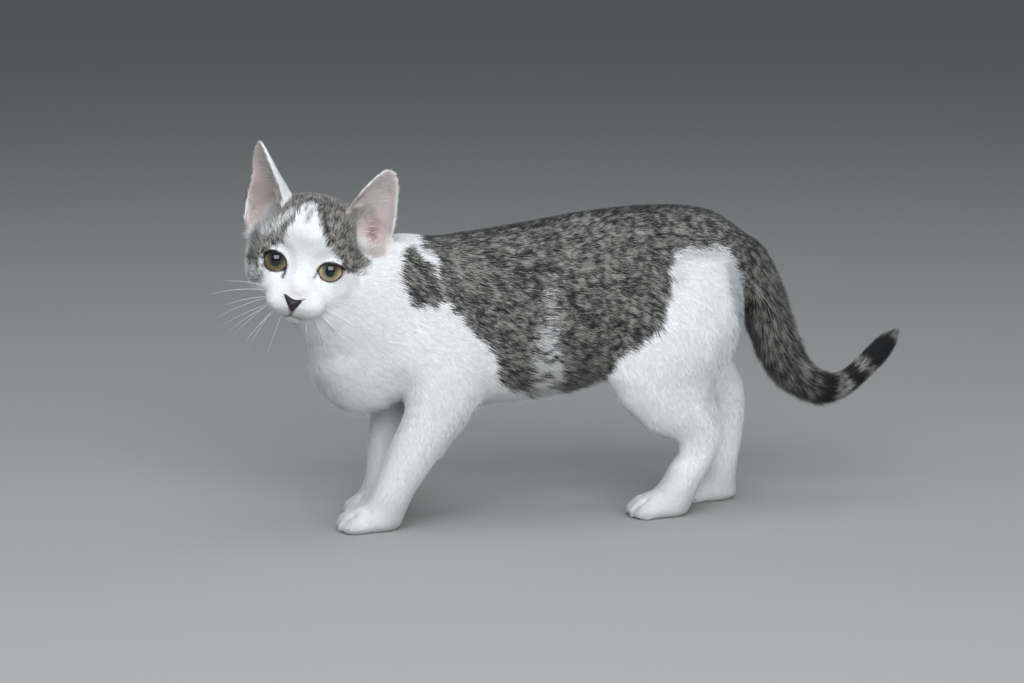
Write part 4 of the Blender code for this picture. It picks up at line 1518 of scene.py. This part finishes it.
def with_ear_hair(fields, side, length, width, stand, density):
    """Short hair outside an ear, long and sparse hair across its hollow, and less round the eye."""
    rise, across, opening = ear_place(fields.head, side)
    inner = inside_ear(to_head_turn(fields.normals), opening)
    on_ear = share_of_ear(fields.ears[side])
    bare = on_ear * inner * (1 - eased((np.abs(across) - 0.8) / 0.12)) * eased((rise + 0.12) / 0.1)
    outside = EAR_COAT_LENGTH * (1 - 0.45 * eased((rise - 0.7) / 0.25))
    length = length + (outside - length) * on_ear
    canal = ear_canal(rise, across, side)
    share = EAR_HAIR_SHARE * eased((0.55 - across) / 0.8) * (1 - canal) * eased((0.95 - rise) / 0.2)
    density = density * (1 - bare) + share * bare
    room = np.clip(0.7 * (1 - across) * ear_half_widths(rise), 1.5, EAR_HAIR_LENGTH)
    room = np.minimum(room, 1.0 + 14 * np.clip(1 - rise, 0, 1))
    length = length + (room * (RIGHT_EAR_HAIR if side == "right" else 1.0) - length) * bare
    width = width + (EAR_HAIR_WIDTH - width) * bare
    stand = stand + (EAR_HAIR_STAND - stand) * bare
    if side == "right":
        place, half, longer = EAR_FLUFF
        fluff = on_ear * (1 - inner) * bell(rise - place, half)
        length = length + longer * fluff
        stand = stand + longer * fluff
    sight = eye_opening(fields.places, side)
    length = length * (0.45 + 0.55 * eased(-(sight + 1) / EYE_HAIR))
    return length, width, stand, density * (sight < -0.8)


def with_loose_hair(fields, on_head, length, stand):
    """Longer hair that stands out behind the legs, under the belly, on the tail and in a few wisps."""
    places, normals = fields.places, fields.normals
    back, up = places[:, 1], places[:, 2]
    legs = eased((normals[:, 1] - 0.2) / 0.5) * eased((up - 58) / 12) * eased((140 - up) / 12)
    legs = legs * np.where(back > 30, eased((places[:, 0] - 4) / 6), 1.0)
    under = eased((-normals[:, 2] - 0.15) / 0.5) * (up > 50) * eased((16 - back) / 14)
    uneven = eased((noise(places, 4.0, 30) - 0.15) / 0.6)
    distance, _ = to_line(places[:, 1:], ELBOW_FRINGE)
    elbow = bell(distance, 7) * eased((places[:, 0] - 2) / 6) * (0.4 + 0.6 * uneven)
    _, along = to_line(places[:, 1:], TAIL_LINE)
    bushy = tail_markings(places)[1] * eased((along - 20) / 25) * eased((130 - along) / 25)
    length = length + 3.2 * bushy
    stand = stand + 2.8 * bushy * (0.6 + 0.6 * uneven)
    knee = bell_round(places, KNEE, 12.0)
    loose = np.maximum(legs, under) * (1 - on_head)
    temple = bell_round(fields.head, TEMPLE, 9.0)
    length = length * (1 + (0.3 + 0.6 * uneven) * loose + 1.3 * temple)
    stand = stand * (1 + (0.9 + 1.2 * uneven) * loose) + 3.2 * temple
    length = length * (1 + 0.7 * knee) + 3.5 * elbow
    return length, stand + 3.0 * knee + 3.2 * elbow


def hair_grows(fields):
    """Where hair grows: not on the mouth's line, the nose's leather or the soles."""
    nose = (fields.head - np.array(NOSE_MIDDLE)) / np.array(NOSE_SIZES)
    nose[:, 1] /= 0.16 + 0.84 * np.clip((nose[:, 2] + 1) / 2, 0, 1)
    off_nose = np.linalg.norm(nose, axis=1) > 0.9
    return off_nose & (mouth_distance(fields.head) > 0.9) & (fields.places[:, 2] > 0.8)


def hair_of(fields):
    """Length, width, stand and density of the hair at each place of the skin."""
    length, width, stand, density = fields.hair.T.copy()
    on_head = eased((62 - np.linalg.norm(fields.head, axis=1)) / 12)
    shortest, growth = FACE_HAIR
    own = shortest + growth * away_from(fields.head, NOSE_TIP)
    length = length + (own - length) * on_head
    for side in SIDES:
        length, width, stand, density = with_ear_hair(fields, side, length, width, stand, density)
    for place, _, _, longer in EAR_FRINGES.values():
        fringe = bell_round(fields.head, place, FRINGE_REACH)
        length = length + longer * fringe
        stand = stand + longer / 2 * fringe
    length, stand = with_loose_hair(fields, on_head, length, stand)
    return length, width, stand, density * hair_grows(fields)


def tuft_shape():
    """Places and triangles of one tuft: a closed three-sided spike, 1 long, across a circle of radius 1."""
    bm = bmesh.new()
    bmesh.ops.create_cone(bm, cap_ends=True, segments=3, radius1=1.0, radius2=0.0, depth=1.0)
    bmesh.ops.remove_doubles(bm, verts=bm.verts, dist=0.001)
    bmesh.ops.translate(bm, vec=(0.0, 0.0, 0.5), verts=bm.verts)
    bmesh.ops.triangulate(bm, faces=bm.faces)
    bmesh.ops.recalc_face_normals(bm, faces=bm.faces)
    bm.verts.index_update()
    places = np.array([vert.co for vert in bm.verts])
    triangles = np.array([[vert.index for vert in face.verts] for face in bm.faces])
    bm.free()
    return places, triangles


class Tufts:
    """Roots scattered evenly over the skin, with what each tuft takes from it."""

    def __init__(self, skin, fields, density, seed):
        mesh = skin.data
        mesh.calc_loop_triangles()
        corners = array_from(mesh.loop_triangles, "vertices", 3, np.int32)
        loops = array_from(mesh.loop_triangles, "loops", 3, np.int32)
        uvs = array_from(mesh.uv_layers[0].data, "uv", 2)[loops]
        sides = fields.places[corners]
        area = np.linalg.norm(np.cross(sides[:, 1] - sides[:, 0], sides[:, 2] - sides[:, 0]), axis=1) / 2
        wanted = np.cumsum(area * density[corners].mean(axis=1))
        random = np.random.default_rng(seed)
        number = int(wanted[-1])
        at = (np.arange(number) + random.random(number)) * wanted[-1] / number
        chosen = np.minimum(np.searchsorted(wanted, at), len(corners) - 1)
        first, second = random.random((2, number))
        flip = first + second > 1
        first, second = np.where(flip, 1 - first, first), np.where(flip, 1 - second, second)
        self.weights = np.stack([1 - first - second, first, second], axis=1)
        self.corners = corners[chosen]
        self.uvs = (uvs[chosen] * self.weights[..., None]).sum(axis=1)
        self.random = random
        self.number = number

    def of(self, values):
        """The skin's values at the roots."""
        taken = values[self.corners]
        weights = self.weights if taken.ndim == 2 else self.weights[..., None]
        return (taken * weights).sum(axis=1)


def tuft_colours(fields, tufts, roots, ways, normals, sizes):
    """The colours of the tufts at their roots and at their tips, with painted shade at the roots."""
    random = tufts.random
    ears = {side: tufts.of(fields.ears[side]) for side in SIDES}
    chance = random.random(tufts.number)
    at = roots + ways * sizes[:, :1] * 0.3 + random.normal(0, 0.35, roots.shape)
    near, far = (
        coat_colours(at, normals, ears, chance, at + ways * sizes[:, :1] * share) for share in (0.0, 0.55)
    )
    level = random.normal(1.0, 0.08, tufts.number)[:, None]
    # Painted shade: each tuft is darker at its root, most of all where its hair is dark, and a little lighter
    # at its tip
    shade = 0.64 + 0.30 * np.clip(near.mean(axis=1, keepdims=True) / 0.8, 0, 1)
    return near * level * shade, np.minimum(far * level * 1.06, 0.9)


def tuft_piece(name, shape, roots, ways, normals, sizes, colours, uvs, random):
    """One mesh of many tufts. Each has a root, a way to lie, the skin's normal, its length, width and
    stand in mm, its colour at the root and at the tip, and its place on the unwrap."""
    template, triangles = shape
    share = template[:, 2]
    length, width, stand = (sizes[:, i][:, None, None] for i in range(3))
    across = np.cross(normals, ways)
    along = share[None, :, None]
    middle = roots[:, None] + ways[:, None] * length * along
    middle = middle + normals[:, None] * (stand * np.sin(along * math.pi / 2) - ROOT_SINK * (1 - along))
    sway = across[:, None] * (random.normal(0, TUFT_SWAY, (len(roots), 1, 1)) * length * along**2)
    spread = across[:, None] * template[None, :, 0, None]
    spread = spread + normals[:, None] * template[None, :, 1, None] * TUFT_FLATNESS
    places = middle + sway + spread * width / 2
    places[..., 2] = np.maximum(places[..., 2], LOWEST_HAIR)
    soft = unit(normals[:, None] * 0.75 + spread * 0.5)
    shades = colours[0][:, None] + (colours[1] - colours[0])[:, None] * along
    count = len(template)
    faces = (triangles[None] + np.arange(len(roots))[:, None, None] * count).reshape(-1, 3)
    mesh = bpy.data.meshes.new(name)
    mesh.vertices.add(len(roots) * count)
    put_array(mesh.vertices, "co", places * MM)
    mesh.loops.add(faces.size)
    put_array(mesh.loops, "vertex_index", faces, np.int32)
    mesh.polygons.add(len(faces))
    put_array(mesh.polygons, "loop_start", np.arange(0, faces.size, 3), np.int32)
    mesh.update(calc_edges=True)
    patch = uvs[:, None] + template[None, :, :2] * OFBAKE_PATCH
    put_array(mesh.uv_layers.new(name="OFBake").data, "uv", patch.reshape(-1, 2)[faces.ravel()])
    set_colours(mesh, shades.reshape(-1, 3))
    mesh.shade_smooth()
    mesh.normals_split_custom_set_from_vertices(soft.reshape(-1, 3).astype(np.float32))
    obj = bpy.data.objects.new(name, mesh)
    bpy.context.scene.collection.objects.link(obj)
    return obj


def piece_of_coat(fields, tufts):
    """The name of the coat piece that each tuft belongs to."""
    labels = fields.labels[tufts.corners[:, 0]]
    kinds = np.array([kind_of(name) for name in FLESH])[labels]
    names = np.array([f"coat_{kind}" for kind in kinds], dtype="<U40")
    in_front = tufts.of(fields.head)[:, 0] > FACE_PIECE_FRONT
    on_head = np.isin(kinds, ("head", "muzzle"))
    names[on_head & in_front] = "coat_face"
    names[on_head & ~in_front] = "coat_head"
    left = tufts.of(fields.places)[:, 0] > TAIL_MIDDLE
    on_hindlegs = np.isin(kinds, ("hindleg_thigh", "hindleg_shank"))
    sided = {f"coat_{kind}": kinds == kind for kind in ("belly", "chest", "rump")}
    for name, own in {**sided, "coat_hindleg": on_hindlegs}.items():
        names[own & left] = f"{name}_left"
        names[own & ~left] = f"{name}_right"
    names[np.isin(kinds, ("foreleg_upper", "foreleg_lower"))] = "coat_forelegs"
    names[np.isin(kinds, ("forepaw", "hindpaw"))] = "coat_paws"
    return names


def build_coat(skin):
    values = settings()
    fields = SkinFields(skin.data)
    length, width, stand, density = hair_of(fields)
    tufts = Tufts(skin, fields, density * values.hair_amount, COAT_SEED)
    random = tufts.random
    roots, normals = tufts.of(fields.places), unit(tufts.of(fields.normals))
    ways = tufts.of(fields.guide)
    clump = np.stack([noise(roots, CLUMP_SIZE, seed) for seed in (20, 21, 22)], axis=1) - 0.5
    ways = ways + clump * 0.4 + random.normal(0, 0.10, roots.shape)
    ways = along_surface(ways, normals)
    spread = random.lognormal(0, 0.22, tufts.number)
    sizes = np.stack([tufts.of(length) * spread, tufts.of(width), tufts.of(stand)], axis=1)
    sizes[:, 0] *= values.hair_length
    sizes[:, 1] *= random.uniform(0.75, 1.25, tufts.number)
    sizes[:, 2] *= random.uniform(0.55, 1.15, tufts.number)
    colours = tuft_colours(fields, tufts, roots, ways, normals, sizes)
    names = piece_of_coat(fields, tufts)
    shape = tuft_shape()
    made = []
    for name in sorted(set(names)):
        own = names == name
        root_and_tip = [colour[own] for colour in colours]
        parts = (roots[own], ways[own], normals[own], sizes[own], root_and_tip, tufts.uvs[own])
        made.append(tuft_piece(name, shape, *parts, random))
    return made


# Eyes, nose and whiskers

# The eye's clear front and the dark cord of its lids, in mm
CORNEA_RADIUS = 8.0
CORNEA_BULGE = 0.7
RIM_RADIUS = 0.5
RIM_LIFT = 0.3

# The nose: its middle and half sizes along the head's axes in mm, and how narrow it is at the bottom
NOSE_MIDDLE = Vector((43.0, -0.6, -22.5))
NOSE_SIZES = (5.6, 7.0, 5.1)
NOSE_POINT = 0.13

# The same on a ball of radius 1: places, half sizes and depths of its nostrils, groove and wings
NOSTRIL = (0.56, 0.17, 0.02, 0.18, 0.42)  # to each side, half width, up, half height, depth
GROOVE = (0.10, 0.35, 0.12)  # half width, top, depth
WING = (0.66, 0.16, 0.25, 0.3, 0.16)  # to each side, half width, where it starts, over what, depth
NOSE_TOP_DIP = (0.5, 0.26)  # half width, depth

WHISKER_SEED = 11
WHISKER_STEPS = 10
WHISKER_SAG = Vector((-0.075, 0.0, -0.25))  # at its tip, as a share of its length
# Each whisker: ahead, out and up in the head's mm, fan angle down in degrees, share of the length
WHISKER_ROWS = (
    (35.5, 11.5, -21.0, -4, 0.9), (33.5, 13.0, -22.0, 6, 1.0), (36.0, 11.5, -24.0, 14, 1.0),
    (33.5, 13.5, -25.0, 24, 1.0), (37.0, 10.5, -26.5, 30, 0.95), (35.0, 12.5, -27.5, 38, 0.95),
    (32.5, 14.0, -28.0, 46, 0.85), (37.0, 9.0, -28.5, 52, 0.85), (35.0, 11.0, -29.5, 60, 0.8),
    (32.5, 12.5, -30.5, 67, 0.75), (36.5, 7.5, -30.0, 74, 0.7),
)  # fmt: skip


def build_eye(side):
    """An eyeball whose clear front stands a little out, with a map of the gaze to paint its iris by."""
    bm = bmesh.new()
    matrix = Matrix.Translation(eye_centre(side))
    bmesh.ops.create_uvsphere(bm, u_segments=72, v_segments=48, radius=EYE_RADIUS * MM, matrix=matrix)
    obj = object_from(bm, f"eye_ball_{side}")
    mesh = obj.data
    places = places_of(mesh)
    seen, axes = eye_sight(places, side)
    out = np.linalg.norm(seen[:, :2], axis=1)
    bulge = CORNEA_BULGE * eased((CORNEA_RADIUS - out) / CORNEA_RADIUS) * (seen[:, 2] > 0)
    set_places(mesh, places + unit(seen) * bulge[:, None] @ axes)
    flat = 0.5 + 0.5 * seen[:, :2] / EYE_RADIUS
    behind = seen[:, 2] < 0
    flat[behind] = 0.5 + 0.5 * unit(flat[behind] - 0.5)
    corners = array_from(mesh.loops, "vertex_index", 1, np.int32)
    put_array(mesh.uv_layers.new(name="gaze").data, "uv", flat[corners])
    mesh.shade_smooth()
    return obj


def tube(bm, rings, segments, closed=False):
    """Joins round rings, each a matrix and a radius, into one tube."""
    last = first = None
    for number, (matrix, radius) in enumerate(rings):
        capped = not closed and number in (0, len(rings) - 1)
        verts = bmesh.ops.create_circle(
            bm, cap_ends=capped, segments=segments, radius=radius, matrix=matrix
        )["verts"]
        ring = list({edge for vert in verts for edge in vert.link_edges})
        if last:
            bmesh.ops.bridge_loops(bm, edges=last + ring)
        last = ring
        first = first or ring
    if closed:
        bmesh.ops.bridge_loops(bm, edges=last + first)


def build_rim(side):
    """The dark bare margin of the lids: a round cord laid on the eye along the opening."""
    _, axes = eye_sight(np.zeros((1, 3)), side)
    outwards = ways_out(lid_outline(side, 4)) @ axes
    line = np.array(eye_centre(side)) / MM + outwards * (EYE_RADIUS + RIM_LIFT)
    rings = []
    for number, point in enumerate(line):
        way = Vector(line[(number + 1) % len(line)] - line[number - 1]).normalized()
        out = Vector(outwards[number])
        turn = Matrix((out, way.cross(out), way)).transposed().to_4x4()
        rings.append((Matrix.Translation(Vector(point)) @ turn, RIM_RADIUS))
    bm = bmesh.new()
    tube(bm, rings, 8, closed=True)
    bmesh.ops.recalc_face_normals(bm, faces=bm.faces)
    bmesh.ops.scale(bm, vec=(MM, MM, MM), verts=bm.verts)
    obj = object_from(bm, f"eye_rim_{side}")
    obj.data.shade_smooth()
    return obj


def build_nose():
    """The three-sided pad of bare skin, with two nostrils and a groove down its middle."""
    bm = bmesh.new()
    bmesh.ops.create_uvsphere(bm, u_segments=56, v_segments=40, radius=1.0)
    out, half_width, above, half_height, nostril_depth = NOSTRIL
    groove_width, groove_top, groove_depth = GROOVE
    wing_out, wing_width, wing_start, wing_rise, wing_depth = WING
    dip_width, dip_depth = NOSE_TOP_DIP
    for vert in bm.verts:
        ahead, side, up = vert.co
        height = (up + 1) / 2
        narrow = (NOSE_POINT + (1 - NOSE_POINT) * height) / max(math.sqrt(1 - min(up * up, 1.0)), 0.42)
        nostril = math.exp(-(((abs(side) - out) / half_width) ** 2) - ((up - above) / half_height) ** 2)
        groove = math.exp(-((side / groove_width) ** 2)) * max(groove_top - up, 0.0)
        wing = math.exp(-(((abs(side) - wing_out) / wing_width) ** 2))
        wing *= min(max((up - wing_start) / wing_rise, 0.0), 1.0)
        pull = 1 - nostril_depth * nostril - groove_depth * groove - wing_depth * wing
        low_middle = 1 - dip_depth * math.exp(-((side / dip_width) ** 2)) * max(up, 0.0)
        vert.co = (ahead * pull, side * narrow, up * low_middle)
    shape = Matrix.Translation(NOSE_MIDDLE) @ Matrix.Diagonal((*NOSE_SIZES, 1.0))
    bmesh.ops.transform(bm, matrix=HEAD @ shape, verts=bm.verts)
    obj = object_from(bm, "nose_leather")
    obj.data.shade_smooth()
    return obj


def whisker_rings(points, thickness):
    """The rings of a round hair through the points, which narrows to its tip."""
    last = len(points) - 1
    rings = []
    for number, point in enumerate(points):
        ahead, behind = points[min(number + 1, last)], points[max(number - 1, 0)]
        turn = (ahead - behind).normalized().to_track_quat("Z", "Y").to_matrix().to_4x4()
        rings.append((Matrix.Translation(point) @ turn, thickness / 2 * (1 - 0.85 * number / last)))
    return rings


def build_whiskers():
    values = settings()
    random = np.random.default_rng(WHISKER_SEED)
    bm = bmesh.new()
    for way in SIDES.values():
        for ahead, out, up, fan, share in WHISKER_ROWS:
            fan = math.radians(fan + random.normal(0, 3))
            length = values.whisker_length / MM * share * random.uniform(0.9, 1.05)
            start = Vector((ahead - 3, way * (out - 1.5), up))
            run = Vector((-0.22 - 0.1 * random.random(), way * math.cos(fan), -math.sin(fan)))
            run.normalize()
            shares = [step / WHISKER_STEPS for step in range(WHISKER_STEPS + 1)]
            points = [start + run * length * t + WHISKER_SAG * length * t * t for t in shares]
            tube(bm, whisker_rings(points, random.uniform(0.34, 0.44)), 5)
    bmesh.ops.recalc_face_normals(bm, faces=bm.faces)
    bmesh.ops.transform(bm, matrix=HEAD, verts=bm.verts)
    obj = object_from(bm, "whiskers")
    obj.data.shade_smooth()
    return obj


# The stage

CAMERA_PLACE = (1.68144, -0.43386, 0.39286)
CAMERA_AZIMUTH = math.radians(77.0)
CAMERA_ELEVATION = math.radians(9.3)
LENS = 100.0
FLOOR_SIZE = 20.0
FLOOR_COLOUR = (0.36, 0.36, 0.35, 1.0)
STUDIO_COLOUR = (0.86, 0.92, 1.0, 1.0)
STUDIO_LEVEL = 0.22
AIM = (0.0, -0.05, 0.12)
WINDOW_AIM = (0.0, -0.15, 0.17)

# Name, place, aim and size in metres, power in watts, colour, and whether the eyes mirror it
LIGHTS = (
    ("sky", (0.3, -0.1, 2.4), AIM, (2.0, 2.0), 21.0, (0.95, 0.98, 1.0), False),
    ("window", (1.52, -0.58, 1.30), WINDOW_AIM, (1.65, 1.1), 31.0, (0.92, 0.96, 1.0), True),
    ("side", (2.4, 0.5, 0.8), AIM, (1.8, 1.4), 33.0, (0.97, 0.99, 1.0), False),
    ("fill", (0.4, -2.2, 0.9), AIM, (1.5, 1.2), 3.0, (1.0, 0.98, 0.95), False),
)


def build_camera():
    camera = bpy.data.objects.new("camera", bpy.data.cameras.new("camera"))
    bpy.context.scene.collection.objects.link(camera)
    camera.data.lens = LENS
    camera.data.sensor_width = 36.0
    camera.location = CAMERA_PLACE
    camera.rotation_euler = (math.pi / 2 - CAMERA_ELEVATION, 0.0, CAMERA_AZIMUTH)
    bpy.context.scene.camera = camera


def soft_light(name, place, aim, size, power, colour, mirrored):
    light = bpy.data.objects.new(name, bpy.data.lights.new(name, "AREA"))
    bpy.context.scene.collection.objects.link(light)
    light.data.shape = "RECTANGLE"
    light.data.size, light.data.size_y = size
    light.data.energy = power
    light.data.color = colour
    light.location = place
    light.visible_glossy = mirrored
    light.rotation_euler = (Vector(place) - Vector(aim)).to_track_quat("Z", "Y").to_euler()


def build_stage():
    bm = bmesh.new()
    bmesh.ops.create_grid(bm, x_segments=1, y_segments=1, size=FLOOR_SIZE)
    floor = object_from(bm, "floor")
    surface = {"Base Color": FLOOR_COLOUR, "Roughness": 0.9, "Specular IOR Level": 0.2}
    floor.data.materials.append(new_material("floor", surface)[0])
    world = bpy.data.worlds.new("studio")
    bpy.context.scene.world = world
    world.use_nodes = True
    background = world.node_tree.nodes["Background"]
    background.inputs["Color"].default_value = STUDIO_COLOUR
    background.inputs["Strength"].default_value = STUDIO_LEVEL
    for light in LIGHTS:
        soft_light(*light)
    bpy.context.scene.view_settings.view_transform = "Standard"
    build_camera()


# Operators


class CAT_OT_stage(bpy.types.Operator):
    """Make the floor, the lights and the camera"""

    bl_idname = "cat.stage"
    bl_label = "Stage"

    def execute(self, context):
        build_stage()
        return {"FINISHED"}


class CAT_OT_skin(bpy.types.Operator):
    """Make one skin in place of all the pieces of flesh"""

    bl_idname = "cat.skin"
    bl_label = "Skin"

    def execute(self, context):
        skin = build_skin()
        set_colours(skin.data, skin_colours(SkinFields(skin.data)))
        unwrap(skin)
        made_piece(skin, coat_material("skin", 0.85, 0.4, 0.1), FLESH)
        return {"FINISHED"}


class CAT_OT_eyes(bpy.types.Operator):
    """Make the eyes and the dark rims of their lids"""

    bl_idname = "cat.eyes"
    bl_label = "Eyes"

    def execute(self, context):
        rim = plain_material("eye_rim", settings().rim_dark, 0.35, 0.3, 900.0)
        for side in SIDES:
            made_piece(build_eye(side), eye_material(side), [f"eye_{side}"])
            made_piece(build_rim(side), rim)
        return {"FINISHED"}


class CAT_OT_nose(bpy.types.Operator):
    """Make the nose's leather"""

    bl_idname = "cat.nose"
    bl_label = "Nose"

    def execute(self, context):
        leather = plain_material("nose_leather", (0.020, 0.013, 0.015), 0.5, 0.08, 1500.0)
        made_piece(build_nose(), leather, ["nose"])
        return {"FINISHED"}


class CAT_OT_coat(bpy.types.Operator):
    """Make the coat, in pieces of many tufts"""

    bl_idname = "cat.coat"
    bl_label = "Coat"

    def execute(self, context):
        material = coat_material("coat", 0.8, 0.0, 0.15)
        for piece in build_coat(bpy.data.objects["skin"]):
            made_piece(piece, material)
        return {"FINISHED"}


class CAT_OT_whiskers(bpy.types.Operator):
    """Make the whiskers"""

    bl_idname = "cat.whiskers"
    bl_label = "Whiskers"

    def execute(self, context):
        hair = plain_material("whisker", (0.85, 0.85, 0.85), 0.35, 0.2, 400.0)
        made_piece(build_whiskers(), hair)
        return {"FINISHED"}


class CAT_PT_panel(bpy.types.Panel):
    """Lists the steps of the making"""

    bl_idname = "CAT_PT_panel"
    bl_label = "Cat"
    bl_space_type = "VIEW_3D"
    bl_region_type = "UI"
    bl_category = "Cat"

    def draw(self, context):
        for step in STEPS:
            self.layout.operator(step.bl_idname)
        for name in CatSettings.__annotations__:
            self.layout.prop(context.scene.cat_settings, name)


STEPS = (CAT_OT_stage, CAT_OT_skin, CAT_OT_eyes, CAT_OT_nose, CAT_OT_coat, CAT_OT_whiskers)


def register():
    for found in (CatSettings, *STEPS, CAT_PT_panel):
        bpy.utils.register_class(found)
    bpy.types.Scene.cat_settings = PointerProperty(type=CatSettings)


def unregister():
    del bpy.types.Scene.cat_settings
    for found in reversed((CatSettings, *STEPS, CAT_PT_panel)):
        bpy.utils.unregister_class(found)


def main():
    register()
    bpy.ops.cat.stage()
    bpy.ops.cat.skin()
    bpy.ops.cat.eyes()
    bpy.ops.cat.nose()
    bpy.ops.cat.coat()
    bpy.ops.cat.whiskers()


if __name__ == "__main__":
    main()
